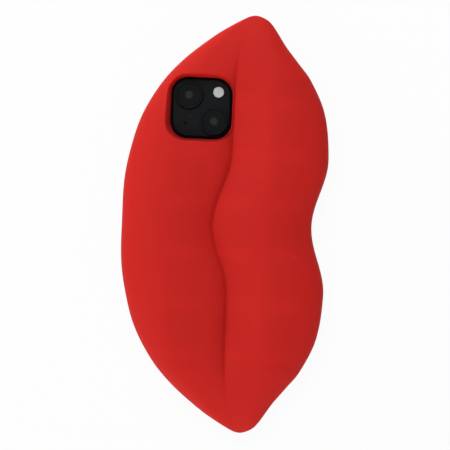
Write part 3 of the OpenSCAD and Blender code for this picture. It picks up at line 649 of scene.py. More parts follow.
def frosted_flash(name, tone):
    """Frosted flash lens, warmer over its two emitters."""
    shade = Shade(name)
    core = shade.spot("flash_window", 0.25, 0.62)
    return shade.surface(
        Base_Color=shade.mix(core * 0.4, tone, (0.56, 0.58, 0.52)),
        Roughness=0.38 + 0.12 * shade.noise(800, 2),
        Normal=shade.bump(shade.noise(2200, 2), 0.01, 0.5), Coat_Weight=0.15, Coat_Roughness=0.1)


def smoky_cover(ring):
    """Lens cover glass: nearly black, with a painted grey glint over the lens below it."""
    shade = Shade("smoky_cover")
    # Painted glint: grey over the lens's middle, a little rougher there.
    glint = shade.spot(ring, 0.20, 0.34) * (0.55 + 0.45 * shade.specks(900, 0.35, 0.60))
    return shade.surface(
        Base_Color=shade.mix(glint, (0.0126, 0.0144, 0.0148), (0.036, 0.040, 0.041)),
        Roughness=0.10 + 0.08 * shade.noise(300, 3) + 0.25 * glint, Alpha=0.86,
        Specular_IOR_Level=0.12)


def coated_element(ring):
    """Front lens element: black glass, with a painted grey reflection over the middle, which is duller
    there.
    """
    shade = Shade("coated_element")
    # Painted reflection: grey over the middle of the element.
    core = shade.spot(ring, 0.18, 0.36)
    patchy = shade.noise(700, 3)
    return shade.surface(
        Base_Color=shade.mix(core * (0.6 + 0.4 * patchy), (0.004, 0.005, 0.006),
                             (0.085, 0.090, 0.092)),
        Roughness=0.18 + 0.4 * core, Coat_Weight=0.1, Coat_Roughness=0.04,
        Specular_IOR_Level=0.2)


def woven(name, tone):
    """Fine woven wire cloth, over a dark backing."""
    shade = Shade(name)
    weave = shade.waves("X", 900) * shade.waves("Z", 900)
    return shade.surface(
        Base_Color=shade.varied(weave, tone, 0.25, 1.4),
        Metallic=0.8, Roughness=0.35 + 0.1 * shade.noise(900, 2),
        Normal=shade.bump(weave, 0.03, 0.8))


def printed_board(name, tone):
    """Solder masked board: fine tracks under the mask and tinned pads."""
    shade = Shade(name)
    cells = shade.node("ShaderNodeTexVoronoi", {"feature": "F1", "distance": "CHEBYCHEV"},
                       {"Vector": shade.place, "Scale": 900})
    pads = shade.ramp(cells, (0.10, 1.0), (0.16, 0.0))
    tracks = shade.waves("DIAGONAL", 420, Distortion=4.0, Detail=1.0)
    board = shade.varied(tracks, tone, 0.8, 1.5)
    return shade.surface(
        Base_Color=shade.mix(pads, board, (0.70, 0.62, 0.36)), Metallic=pads * 0.9,
        Roughness=0.34 + 0.1 * shade.noise(500, 2), Normal=shade.bump(tracks, 0.01, 0.5))


def wrapped_foil(name, tone):
    """Soft aluminium laminate round a battery cell, lightly creased."""
    shade = Shade(name)
    crease = shade.noise(160, 5, 0.65)
    return shade.surface(
        Base_Color=shade.varied(crease, tone, 0.8, 1.15), Metallic=0.15,
        Roughness=0.42 + 0.2 * crease, Normal=shade.bump(crease, 0.12, 0.5))


def film_stack(name, tone):
    """Display stack seen from its edge: thin layers of film."""
    shade = Shade(name)
    films = shade.waves("Z", 2600)
    return shade.surface(
        Base_Color=shade.mix(films, tone, (0.06, 0.06, 0.075)),
        Roughness=0.24 + 0.16 * films, Normal=shade.bump(films, 0.005, 0.4))


# How each slot's material is made: its finish, its colour or the name of the user's colour, and
# what else the finish takes.
FINISHES = {
    "red_silicone": (soft_silicone, "silicone"),
    "anodised_band": (bead_blasted, "metal"),
    "antenna_plastic": (moulded, (0.045, 0.047, 0.052)),
    "black_glass": (coated_glass, "glass", 0.36, 0.13, 0.0, True),
    "screen_glass": (coated_glass, (0.006, 0.006, 0.007), 0.06, 0.5, 0.4),
    "display_stack": (film_stack, (0.008, 0.009, 0.012)),
    "seal_foam": (moulded, (0.014, 0.014, 0.015), 0.85, 900, 0.2),
    "bare_steel": (brushed, (0.50, 0.50, 0.49), 0.28),
    "battery_foil": (wrapped_foil, (0.045, 0.046, 0.05)),
    "pull_tab": (moulded, (0.68, 0.69, 0.68), 0.6, 500),
    "flex_film": (moulded, (0.16, 0.075, 0.018), 0.35, 300),
    "board_laminate": (printed_board, (0.012, 0.035, 0.022)),
    "copper_wire": (brushed, (0.62, 0.24, 0.11), 0.26, 1),
    "magnet_nickel": (brushed, (0.55, 0.54, 0.50), 0.22, 1),
    "camera_housing": (bead_blasted, (0.10, 0.10, 0.105), 0.45),
    "lens_black": (moulded, (0.0055, 0.006, 0.0062), 0.6, 2200, 0.12),
    "ring_metal": (brushed, "ring", 0.50),
    "flash_diffuser": (frosted_flash, "flash"),
    "sensor_plastic": (moulded, (0.006, 0.006, 0.007), 0.6, 1800, 0.1),
    "gold_contact": (brushed, (0.78, 0.56, 0.22), 0.22, 1),
    "tungsten": (bead_blasted, (0.24, 0.24, 0.25), 0.4),
    "switch_orange": (moulded, "accent", 0.45, 1600),
    "gasket": (moulded, (0.02, 0.02, 0.021), 0.7, 700, 0.25),
}
made_finishes = {}


def finish(slot):
    """The material for one slot, made the first time it is asked for."""
    if slot not in made_finishes:
        maker, tone, *more = FINISHES[slot]
        if isinstance(tone, str):
            tone = tuple(getattr(bpy.context.scene.lips_look, tone))
        made_finishes[slot] = maker(slot, tone, *more)
    return made_finishes[slot]


# ---------------------------------------------------------------- geometry nodes

class Rig(Tree):
    """A geometry nodes tree with a material and named inputs, while it is being built."""

    KINDS = {float: "Float", int: "Int", tuple: "Vector", bpy.types.Material: "Material"}

    def __init__(self, name, material, inputs):
        super().__init__(bpy.data.node_groups.new(name, "GeometryNodeTree"))
        face = self.tree.interface
        face.new_socket("Geometry", in_out="OUTPUT", socket_type="NodeSocketGeometry")
        face.new_socket("Geometry", in_out="INPUT", socket_type="NodeSocketGeometry")
        self.values = {}
        for label, value in {**inputs, "Material": material}.items():
            kind = "NodeSocket" + self.KINDS[type(value)]
            made = face.new_socket(label, in_out="INPUT", socket_type=kind)
            self.values[made.identifier] = value
        self.start = self.tree.nodes.new("NodeGroupInput")
        self.end = self.tree.nodes.new("NodeGroupOutput")

    def __getitem__(self, label):
        """The wire of a named input."""
        return Wire(self, self.start.outputs[label])

    def make(self, kind, inputs=None, **settings):
        """Adds a geometry node, whose kind is given without its prefix."""
        return self.node("GeometryNode" + kind, settings, inputs)

    def vector(self, parts):
        """A vector whose X, Y and Z are parts 0, 1 and 2. A part left out is zero."""
        return self.node("ShaderNodeCombineXYZ", None, parts)

    def moved(self, geometry, place, turn=(0.0, 0.0, 0.0)):
        """Geometry turned about the origin, then moved to a place."""
        return self.make("Transform", {"Geometry": geometry, "Translation": place, "Rotation": turn})

    def swept(self, path, profile, caps=False):
        """A profile swept along a path."""
        return self.make("CurveToMesh", {"Curve": path, "Profile Curve": profile, "Fill Caps": caps})

    def joined(self, parts):
        """Several geometries as one."""
        made = self.tree.nodes.new("GeometryNodeJoinGeometry")
        for part in parts:
            self.feed(made.inputs[0], part)
        return Wire(self, made.outputs[0])

    def grow(self, name, geometry, sharp=SHARP):
        """Ends the tree, runs it on a new piece and returns the piece as plain mesh."""
        solid = self.make("RealizeInstances", {0: geometry})
        coloured = self.make("SetMaterial", {"Geometry": solid, "Material": self["Material"]})
        self.feed(self.end.inputs[0], coloured)
        piece = bpy.data.objects.new(name, bpy.data.meshes.new(name))
        bpy.context.scene.collection.objects.link(piece)
        grown = piece.modifiers.new("Growth", "NODES")
        grown.node_group = self.tree
        for identifier, value in self.values.items():
            grown[identifier] = value
        return settled(piece, sharp)


# ---------------------------------------------------------------- the lips

# Reach of each lip's edge as a share of its reach at mid length, at shares of the half length.
LOWER_SHAPE = ((0, 1), (0.195, 0.993), (0.351, 0.945), (0.507, 0.859),
               (0.663, 0.7), (0.78, 0.515), (0.897, 0.259), (0.975, 0.051), (1, 0))
UPPER_SHAPE = ((0, 1), (0.351, 1), (0.546, 0.916), (0.702, 0.692), (0.78, 0.503),
               (0.858, 0.311), (0.936, 0.156), (0.975, 0.078), (1, 0))

# Forms of the quarter domes: power of the crest, power of the foot (2 stands upright there and 1
# meets it at a slope), share of the height in the crease, and the crease's two powers.
OUTER_FORM = (2.4, 2, 0, 2, 1)
INNER_FORM = (2.4, 1, 0.3, 16, 1)
BEAD_FORM = (1.8, 1, 0, 2, 1)
BACK_FORM = (2.3, 2, 0, 2, 1)

LOWER_CREST_SHARE = 0.48   # place of the lower crest, from the edge to the mouth line
UPPER_CREST_SHARE = 0.56   # place of the upper crest, from the edge to the mouth line
MOUTH_X = -2.3             # mouth line's offset from the phone's centreline, in millimetres
MOUTH_TURN = 9             # power of the mouth line's turn to the tips
MOUTH_FADE = (8, 16)       # powers of the crease's fading towards the tips
TIP_ROUND = 40             # power of the rounding over each tip, seen from above
TIP_FALL = 5               # power of the crests' fall towards the tips
NOSE = 24                  # power of the rounding over each tip, seen from the side
TIP_STOP = 0.9996          # share of the half length at which the surface is closed off
NARROW = 40                # width of the lips, in millimetres, below which the crease is harder


def curve(stations, at):
    """Smooth curve through stations of (place, value)."""
    px, py = np.array(stations, float).T
    slope = np.zeros(len(px))
    slope[1:-1] = (py[2:] - py[:-2]) / (px[2:] - px[:-2])
    slope[-1] = (py[-1] - py[-2]) / (px[-1] - px[-2])
    i = np.clip(np.searchsorted(px, at, side="right") - 1, 0, len(px) - 2)
    h = px[i + 1] - px[i]
    t = (at - px[i]) / h
    return (py[i] * (2 * t**3 - 3 * t**2 + 1) + h * slope[i] * (t**3 - 2 * t**2 + t)
            + py[i + 1] * (3 * t**2 - 2 * t**3) + h * slope[i + 1] * (t**3 - t**2))


def bell(t):
    """Smooth hump, from 1 at zero to 0 at one."""
    return np.where(np.abs(t) < 1, (1 + np.cos(np.pi * t)) / 2, 0)


def dome(away, form):
    """Share of a quarter dome's height: away is 0 at its crest and 1 at its foot."""
    crest, foot, crease, crease_crest, crease_foot = form
    away = np.clip(away, 0, 1)
    return ((1 - crease) * (1 - away**crest) ** (1 / foot)
            + crease * (1 - away**crease_crest) ** (1 / crease_foot))


def quarter(x0, z0, x1, z1, form, count):
    """A quarter dome from its foot to its crest, as columns of x and z."""
    away = np.maximum(np.cos(np.linspace(0, np.pi / 2, count + 1)), 0) ** (2 / form[0])
    return (x1[:, None] + (x0 - x1)[:, None] * away,
            z0[:, None] + (z1 - z0)[:, None] * dome(away, form))


class Lips:
    """The surface of the lips in the phone's own frame, in millimetres."""

    def __init__(self, shape):
        self.shape = shape
        self.half = HALF / TIP_STOP
        self.wall = mm(shape.wall_height)

    def lines(self, y):
        """Lower edge, upper edge, mouth line and its height, at each y."""
        shape, s = self.shape, np.abs(y) / self.half
        tip, radius = mm(shape.tip_offset), mm(shape.tip_radius)
        rounding = radius * np.sqrt(np.maximum(0, 1 - s**TIP_ROUND))
        lower = tip - rounding - (LOWER_REACH + tip - radius) * curve(LOWER_SHAPE, s)
        upper = (tip + rounding + (mm(shape.upper_reach) - tip - radius) * curve(UPPER_SHAPE, s)
                 - mm(shape.bow_depth) * bell(y / mm(shape.bow_half)))
        mouth = (MOUTH_X + (tip - MOUTH_X) * s**MOUTH_TURN
                 - mm(shape.bead_push) * bell(y / mm(shape.bead_half)))
        crests = self.crest(y, LOWER_CREST) + self.crest(y, mm(shape.upper_crest))
        valley = crests / 2 - mm(shape.mouth_depth) * (1 - s**MOUTH_FADE[0]) ** MOUTH_FADE[1]
        return lower, upper, mouth, valley

    def crest(self, y, top):
        """Height of a crest that reaches top at mid length."""
        s = np.abs(y) / self.half
        tip = mm(self.shape.tip_height)
        return self.wall + (tip - self.wall + (top - tip) * (1 - s**TIP_FALL)) * np.sqrt(
            np.maximum(0, 1 - s**NOSE))

    def crests(self, y):
        """Places and heights of the two crests."""
        lower, upper, mouth, _ = self.lines(y)
        return (lower + (mouth - lower) * LOWER_CREST_SHARE, self.crest(y, LOWER_CREST),
                upper + (mouth - upper) * UPPER_CREST_SHARE,
                self.crest(y, mm(self.shape.upper_crest)))

    def top(self, x, y):
        """Height of the lips over a point, with the crease between them softened."""
        lower, upper, mouth, _ = self.lines(y)
        soft = (mm(self.shape.crease_soft) * np.minimum(1, (upper - lower) / NARROW)
                * np.clip(1.3 - np.abs(x - mouth) / mm(self.shape.crease_reach), 0, 1))
        steps = np.linspace(-0.9, 0.9, 9)
        shares = (1 - steps**2) / np.sum(1 - steps**2)
        return sum(share * self.form(x + soft * step, y) for step, share in zip(steps, shares))

    def form(self, x, y):
        """Height over a point of the four quarter domes, which meet in a sharp crease."""
        lower, upper, mouth, valley = self.lines(y)
        lx, lz, ux, uz = self.crests(y)

        def height(foot_x, foot_z, crest_x, crest_z, form):
            """Height of one quarter dome over the point."""
            return foot_z + (crest_z - foot_z) * dome((x - crest_x) / (foot_x - crest_x), form)

        return np.where(x < lx, height(lower, self.wall, lx, lz, OUTER_FORM),
               np.where(x < mouth, height(mouth, valley, lx, lz, INNER_FORM),
               np.where(x < ux, height(mouth, valley, ux, uz, BEAD_FORM),
                        height(upper, self.wall, ux, uz, BACK_FORM))))

    def slices(self, y, count):
        """Sections across the lips, as rows of x and of z."""
        lower, upper, mouth, valley = self.lines(y)
        lx, lz, ux, uz = self.crests(y)
        rim = np.minimum(mm(self.shape.rim_radius), (upper - lower) / 4)[:, None]
        turn = np.linspace(0, np.pi / 2, 6)
        foot = rim * (1 - np.sin(turn)), rim * (1 - np.cos(turn))
        rise = np.linspace(0, 1, 5)[1:-1]
        side = rim + (self.wall - rim) * rise
        wall = np.full(len(y), self.wall)
        outer = quarter(lower, wall, lx, lz, OUTER_FORM, count)
        inner = quarter(mouth, valley, lx, lz, INNER_FORM, count)
        bead = quarter(mouth, valley, ux, uz, BEAD_FORM, count)
        back = quarter(upper, wall, ux, uz, BACK_FORM, count)
        for x, z in (inner, bead):
            z[:] = self.top(x, y[:, None])
        x = np.hstack([lower[:, None] + foot[0], np.repeat(lower[:, None], len(rise), 1), outer[0],
                       inner[0][:, -2::-1], bead[0][:, 1:], back[0][:, -2::-1],
                       np.repeat(upper[:, None], len(rise), 1), upper[:, None] - foot[0][:, ::-1]])
        z = np.hstack([foot[1], side, outer[1], inner[1][:, -2::-1], bead[1][:, 1:],
                       back[1][:, -2::-1], side[:, ::-1], foot[1][:, ::-1]])
        return x, z


# ---------------------------------------------------------------- the case

CUT = 1                      # how far cutting tools run past a face, in millimetres
TOUCH = 0.01                 # heights nearer to each other than this are taken as equal
FLOOR_DEPTH = 0.8            # how far the window's wall runs on below the pocket's floor
SHORE_MARGIN = 0.25          # room between the window's shore and the lips' grid
CORE_CELL = 12.4             # width of each core-out in the pocket's floor
CORE_RIB = 2.6               # rib between two core-outs, and skin over them
CORE_COUNT = (4, 9)          # core-outs across and along the pocket
CORE_SINK = 0.5              # how far a core-out's cutter starts below the pocket's floor
CORE_LEAST = 1               # core-outs shallower than this are left out
TROUGH_HEIGHT = 7.0          # height of the troughs at the buttons
TROUGH_ROUND = 1.4           # radius of the troughs' corners
SIDE_TROUGH = (19.1, 21.2)   # middle and length of the side button's trough
VOLUME_TROUGH = (26.5, 41)   # middle and length of the trough over the other buttons
TROUGH_REACH = 70            # reach of both troughs' cutters from the centreline
PORT_TROUGH = 38.0           # width of the charging trough at the phone
PORT_MOUTH = 22.6            # width of the charging trough where it leaves the tip
PORT_HEIGHT = 7.8            # height of the charging trough


def boundary(cells):
    """The closed chain of grid points round a patch of grid cells."""
    after = {}
    for i, j in np.argwhere(cells):
        for here, there, beside in (((i, j), (i, j + 1), (i - 1, j)),
                                    ((i, j + 1), (i + 1, j + 1), (i, j + 1)),
                                    ((i + 1, j + 1), (i + 1, j), (i + 1, j)),
                                    ((i + 1, j), (i, j), (i, j - 1))):
            if not cells[beside]:
                after[here] = there
    chain = [next(iter(after))]
    while after[chain[-1]] != chain[0]:
        chain.append(after[chain[-1]])
    return np.array(chain)


def prism(loop, low, high, axis=2):
    """A closed cutter: a plan loop drawn out along one axis."""
    patch = Patchwork()
    patch.grid([at_height(loop, low), at_height(loop, high)], around=True)
    patch.fill(at_height(loop, low))
    patch.fill(at_height(loop, high))
    patch.points = [tuple(np.roll(p, axis + 1)) for p in patch.points]
    return patch


def window_loops(lips, shape):
    """Loops of the camera window, from its shore on the lips over the soft edge and down the wall,
    and the direction away from the window at each of their points."""
    gap = mm(shape.window_gap)
    half = PLATEAU_W / 2 + gap
    foot, out = rounded_loop((PLATEAU_X, PLATEAU_Y), (half, half), PLATEAU_ROUND + gap, 18, 18)
    z_edge = np.full(len(foot), POCKET_Z + 5)
    spread = ((foot - (PLATEAU_X + mm(shape.window_lean), PLATEAU_Y))
              * shape.window_flare / half)
    # The brim's place and its height depend on each other, so they are found in turns.
    for _ in range(12):
        brim = foot + spread * (z_edge - POCKET_Z)[:, None]
        z_edge = lips.top(brim[:, 0], brim[:, 1])
    reach = mm(shape.window_round) * (1 - 0.5 * np.maximum(out[:, 0], 0))
    shore = brim + out * reach[:, None]
    shore = at_height(shore, lips.top(shore[:, 0], shore[:, 1]))
    drop = np.minimum(reach * 1.1, (z_edge - POCKET_Z) * 0.7)
    below = at_height(brim - spread * drop[:, None], z_edge - drop)
    brim = at_height(brim, z_edge)
    deep = at_height(foot, POCKET_Z)
    loops = [(1 - t) ** 2 * shore + 2 * t * (1 - t) * brim + t**2 * below
             for t in np.linspace(0, 1, 9)]
    loops += [below + (deep - below) * t for t in (0.5, 1.0)]
    loops.append(at_height(foot, POCKET_Z - FLOOR_DEPTH))
    return loops, out


def build_case(shape):
    """The soft case: the lips, their window with a soft edge, the pocket and its troughs."""
    lips = Lips(shape)
    y = HALF * np.sin(np.linspace(-np.pi / 2, np.pi / 2, 2 * shape.rows + 1))
    x, z = lips.slices(y, shape.columns)
    points = np.dstack([x, np.repeat(y[:, None], x.shape[1], 1), z])
    loops, out = window_loops(lips, shape)

    margin = loops[0][:, :2] + out * SHORE_MARGIN
    near = inside(points.reshape(-1, 3)[:, :2], margin).reshape(x.shape)
    near &= z >= lips.wall - TOUCH
    cells = near[:-1, :-1] | near[1:, :-1] | near[:-1, 1:] | near[1:, 1:]
    chain = boundary(cells)

    body = Patchwork()
    body.grid(points, skip=cells)
    body.fill(points[chain[:, 0], chain[:, 1]], [loops[0]])
    body.grid(loops, around=True)
    body.fill(loops[-1])
    body.fill(np.vstack([points[:, 0], points[::-1, -1]]))
    for tip in (0, -1):
        body.add(points[tip], [range(points.shape[1])])
    case = body.object("soft_case", finish("red_silicone"))

    gap = mm(shape.pocket_gap)
    pocket = rounded_loop((0, 0), (HALF_W + gap, HALF_L + gap), PHONE_ROUND + gap)[0]
    cut_out(case, [prism(pocket, -CUT, POCKET_Z), core_outs(lips, shape.window_flare),
                   button_trough(-1, *SIDE_TROUGH), button_trough(1, *VOLUME_TROUGH),
                   port_trough(mm(shape.tip_offset))])
    into_row(case)
    return stand_in(case, "lip_case", "case")


def cut_out(piece, cutters):
    """Takes the cutters out of a piece, one after the other."""
    for number, cutter in enumerate(cutters):
        tool = cutter.object(f"cutter_{number}", finish("red_silicone"))
        cut = piece.modifiers.new("Cut", "BOOLEAN")
        cut.operation = "DIFFERENCE"
        cut.solver = "EXACT"
        cut.object = tool
        settled(piece, 40)
        bpy.data.objects.remove(tool)


def into_row(piece):
    """Moves a piece made in the phone's own frame to its place, and keeps it in the case's box."""
    flat = np.zeros(len(piece.data.vertices) * 3, np.float32)
    piece.data.vertices.foreach_get("co", flat)
    spots = flat.reshape(-1, 3)
    spots[:, 0] += PHONE_X * MM
    low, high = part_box("lip_case")
    piece.data.vertices.foreach_set("co", np.clip(spots, low, high).ravel())
    piece.data.update()


def core_outs(lips, flare):
    """Core-outs in the pocket's floor, which leave an even skin over them."""
    pitch, half = CORE_CELL + CORE_RIB, CORE_CELL / 2
    across, along = CORE_COUNT
    found = Patchwork()
    for i in range(across):
        for j in range(along):
            x, y = (i - (across - 1) / 2) * pitch, (j - (along - 1) / 2) * pitch
            reach = pitch / 2 * np.arange(-1, 2)
            xs, ys = np.meshgrid(x + reach, y + reach)
            _, _, mouth, valley = lips.lines(y + reach)
            crossed = valley[np.abs(mouth - x) < pitch / 2]
            ceiling = min([lips.top(xs, ys).min(), *crossed]) - CORE_RIB
            near = (max(abs(x - PLATEAU_X), abs(y - PLATEAU_Y))
                    < PLATEAU_W / 2 + half + CORE_RIB + flare * max(0, ceiling - POCKET_Z))
            if ceiling > POCKET_Z + CORE_LEAST and not near:
                loop = rounded_loop((x, y), (half, half), CORE_CELL / 5, 4, 1)[0]
                cell = prism(loop, POCKET_Z - CORE_SINK, ceiling)
                found.add(cell.points, cell.faces)
    return found


def button_trough(side, middle, length_along):
    """A channel through the case's side wall, which leaves the buttons free."""
    low = -CUT
    loop = rounded_loop((middle, (TROUGH_HEIGHT + low) / 2),
                        (length_along / 2, (TROUGH_HEIGHT - low) / 2), TROUGH_ROUND, 6, 1)[0]
    low_x, high_x = sorted((side * (HALF_W - CUT), side * TROUGH_REACH))
    return prism(loop, low_x, high_x, axis=0)


def port_trough(tip):
    """A channel from the charging port out through the lower tip."""
    straight, funnel = 3, 18.95
    near, far, end = -HALF_L - straight, -HALF_L - funnel, -HALF - 2 * CUT
    wide, narrow = PORT_TROUGH / 2, PORT_MOUTH / 2
    loop = np.array([(wide, -HALF_L + CUT), (-wide, -HALF_L + CUT), (-wide, near),
                     (tip - narrow, far), (tip - narrow, end), (tip + narrow, end),
                     (tip + narrow, far), (wide, near)])
    return prism(loop, -CUT, PORT_HEIGHT)


def build_screen_bead(shape):
    """The soft bead that holds the phone by its screen's edge, swept along its path."""
    overlap, slack = 1.3, 0.05
    width = overlap + mm(shape.pocket_gap) - slack
    rig = Rig("Screen bead", finish("red_silicone"), {
        "Half width": (HALF_W - overlap + width / 2) * MM,
        "Half length": (HALF_L - overlap + width / 2) * MM,
        "Corner": (PHONE_ROUND - overlap + width / 2) * MM,
        "Bead width": width * MM,
        "Bead height": 0.88 * MM,
        "Bead corner": 0.3 * MM,
        "Height": 0.70 * MM,
    })
    path = rig.make("CurvePrimitiveQuadrilateral",
                    {0: rig["Half width"] * 2.0, 1: rig["Half length"] * 2.0})
    path = rig.make("FilletCurve", {"Curve": path, "Count": 24, "Radius": rig["Corner"]}, mode="POLY")
    profile = rig.make("CurvePrimitiveQuadrilateral", {0: rig["Bead width"], 1: rig["Bead height"]})
    profile = rig.make("FilletCurve", {"Curve": profile, "Count": 5, "Radius": rig["Bead corner"]},
                       mode="POLY")
    bead = rig.moved(rig.swept(path, profile), rig.vector({0: PHONE_X * MM, 2: rig["Height"]}))
    stand_in(rig.grow("screen_bead", bead), "screen_lip", "case")


# ---------------------------------------------------------------- the phone's back

GLASS_ROUND = 10.35          # radius of the back glass's corners, in millimetres
GLASS_EDGE = 0.25            # reach of the glass's rounded edge
GLASS_EASE = 0.08            # inset and depth of the middle of that edge
COVE_R = 0.3                 # radius of the hollow at the plateau's foot
BROW_R = 0.7                 # radius of the plateau's upper edge
LENS_BORE_R = 6.2            # radius of the bores for the lens rings
MICROPHONE_R = 0.5           # radius of the microphone's hole
FLASH_GAP = 0.05             # gap round the flash lens
FLASH_TRIM = 0.2             # how much smaller than its solid the flash lens is, in radius
FLASH_SHIFT = (-0.06, -0.3)  # how far the flash lens is from its solid's middle


def flash_form():
    """Middle and radius of the flash lens, which is trimmed and moved a little."""
    spot = centre("flash_window")
    return (spot[0] + FLASH_SHIFT[0], spot[1] + FLASH_SHIFT[1]), size("flash_window").x / 2 - FLASH_TRIM


def build_back_glass():
    """The back glass with its raised camera plateau, bored for the lenses, flash and microphone."""
    low, extent = level("back_glass", top=False), size("back_glass")
    patch = Patchwork()

    def glass(inset, z):
        """The glass's outline, set in from its edge."""
        half = (extent.x / 2 - inset, extent.y / 2 - inset)
        return at_height(rounded_loop((PHONE_X, 0.0), half, GLASS_ROUND - inset, 12, 20)[0], z)

    def plateau(inset, z):
        """The plateau's outline, set in from its edge."""
        half = (PLATEAU_W / 2 - inset,) * 2
        return at_height(rounded_loop((PHONE_X + PLATEAU_X, PLATEAU_Y), half,
                                      PLATEAU_ROUND - inset, 16, 14)[0], z)

    foot, shoulder = glass(0, low), glass(GLASS_EDGE, BACK_Z)
    patch.grid([foot, glass(0, BACK_Z - GLASS_EDGE), glass(GLASS_EASE, BACK_Z - GLASS_EASE), shoulder],
               around=True)
    turns = np.linspace(0, np.pi / 2, 6)
    cove = [plateau(-COVE_R + COVE_R * math.sin(a), BACK_Z + COVE_R - COVE_R * math.cos(a))
            for a in turns]
    brow = [plateau(BROW_R - BROW_R * math.cos(a), PLATEAU_Z - BROW_R + BROW_R * math.sin(a))
            for a in turns]
    patch.grid(cove + brow, around=True)
    flash_spot, flash_r = flash_form()
    tops, bottoms = [], []
    for spot, radius, lip in ((centre("main_lens_ring"), LENS_BORE_R, 0.12),
                              (centre("wide_lens_ring"), LENS_BORE_R, 0.12),
                              (flash_spot, flash_r + FLASH_GAP, 0.12),
                              (centre("rear_microphone"), MICROPHONE_R, 0.08)):
        loops = [at_height(circle_loop(spot, radius + lip), PLATEAU_Z),
                 at_height(circle_loop(spot, radius), PLATEAU_Z - lip),
                 at_height(circle_loop(spot, radius), low)]
        patch.grid(loops, around=True)
        tops.append(loops[0])
        bottoms.append(loops[-1])
    patch.fill(brow[-1], tops)
    patch.fill(shoulder, [cove[0]])
    patch.fill(foot, bottoms)
    stand_in(patch.object("dressed_back_glass", finish("black_glass")),
             "back_glass", "phone")


def build_lens(which, barrel_r, body):
    """One camera: metal ring, cover glass, stepped barrel and front element."""
    lens_node = f"{which}_lens"
    ring_node, cover_node = f"{lens_node}_ring", f"{lens_node}_cover"
    spot = centre(ring_node)
    top, foot = level(ring_node), level(ring_node, top=False)
    deck, seat = top - RING_RISE, top - 0.7
    r, bore = RING_R, RING_R - 1.7
    ring = [(bore, foot), (r - 0.75, foot), (r - 0.75, deck), (r - 0.15, deck), (r, deck + 0.12),
            (r, top - 0.28), (r - 0.04, top - 0.16), (r - 0.14, top - 0.05), (r - 0.28, top),
            (r - 0.88, top), (r - 1.0, top - 0.03), (r - 1.1, top - 0.12), (r - 1.15, top - 0.2),
            (r - 1.15, seat), (bore, seat), (bore, top - 1.3), (bore + 0.12, top - 1.4),
            (bore, top - 1.5), (bore, foot)]
    stand_in(turned(f"{which}_ring", spot, ring, finish("ring_metal")),
             ring_node, "phone")

    r, face = RING_R - 1.22, seat + 0.5
    cover = [(0, seat), (r - 0.1, seat), (r, seat + 0.08), (r, face - 0.08), (r - 0.1, face),
             (0, face)]
    stand_in(turned(f"{which}_cover", spot, cover, smoky_cover(ring_node)),
             cover_node, "phone")

    low, high = level(lens_node, top=False), level(lens_node)
    r, floor, mouth_r = barrel_r, high - 1.2, barrel_r - 0.95
    barrel = [(0, low), (r - 0.1, low), (r, low + 0.1), (r, high - 0.6), (r - 0.1, high - 0.5),
              (r - 0.4, high - 0.5), (r - 0.45, high - 0.12), (r - 0.55, high), (mouth_r, high)]
    for step in range(4):
        radius, depth = mouth_r - 0.22 * step, high - 0.18 * step
        barrel += [(radius - 0.04, depth - 0.15), (radius - 0.2, depth - 0.18)]
    floor_r = barrel[-1][0] - 0.05
    barrel += [(floor_r, floor), (0, floor)]
    stand_in(turned(f"{which}_barrel", spot, barrel, finish("lens_black"), 64),
             lens_node, body)

    r, rim, bulge = floor_r - 0.04, high - 0.95, 0.5
    element = [(0, floor + 0.01), (r, floor + 0.01), (r, rim)]
    for a in np.linspace(0, 1, 10)[1:]:
        element.append((r * (1 - a) ** 0.9, rim + bulge * math.sin(a * math.pi / 2)))
    glass = turned(f"{which}_element", spot, element, coated_element(ring_node), 64)
    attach(glass, body)


def build_flash():
    """Frosted flash lens with fine rings moulded in its top."""
    spot, radius = flash_form()
    low, high = level("flash_window", top=False), level("flash_window")
    profile = [(0, low), (radius, low), (radius, high - 0.15), (radius - 0.1, high - 0.03)]
    rings = 7
    for step in range(rings):
        outer = (radius - 0.15) * (1 - step / rings)
        profile += [(outer, high), (outer - 0.12, high - 0.06)]
    profile.append((0, high - 0.03))
    stand_in(turned("flash_lens", spot, profile, finish("flash_diffuser"), 72),
             "flash_window", "phone")


# ---------------------------------------------------------------- the phone's sides

def build_buttons():
    """The three buttons and the ring switch, with softened edges."""
    for key in ("side", "volume_up", "volume_down"):
        rounded_copy(f"{key}_button", f"{key}_key_cap", 0.28, f"{key}_key", "anodised_band", 3)
    rounded_copy("ring_switch", "ring_slider_cap", 0.22, "ring_slider", "switch_orange", 3)


def build_band():
    """The metal band with its edges broken."""
    rounded_copy("frame", "band", 0.1, "phone", "anodised_band")


def build_port():
    """The charging port's shell, and its row of contacts."""
    rounded_copy("port_shell", "port_liner", 0.12, "phone", "bare_steel")
    spot, extent = centre("port_contacts"), size("port_contacts")
    count, pitch = 8, 0.75
    rig = Rig("Port contacts", finish("gold_contact"), {
        "Count": count,
        "Pitch": pitch * MM,
        "Contact size": (0.4 * MM, extent.y * MM, extent.z * MM),
        "Place": tuple(spot * MM),
    })
    line = rig.make("MeshLine", {"Count": rig["Count"], "Offset": rig.vector({0: rig["Pitch"]})})
    bar = rig.make("MeshCube", {"Size": rig["Contact size"],
                                "Vertices X": 3, "Vertices Y": 6, "Vertices Z": 2})
    row = rig.make("InstanceOnPoints", {"Points": line, "Instance": bar})
    first = rig.node("ShaderNodeVectorMath", {"operation": "ADD"},
                     {0: rig["Place"], 1: (-(count - 1) / 2 * pitch * MM, 0, 0)})
    stand_in(rig.grow("contact_row", rig.moved(row, first)), "port_contacts", "phone")


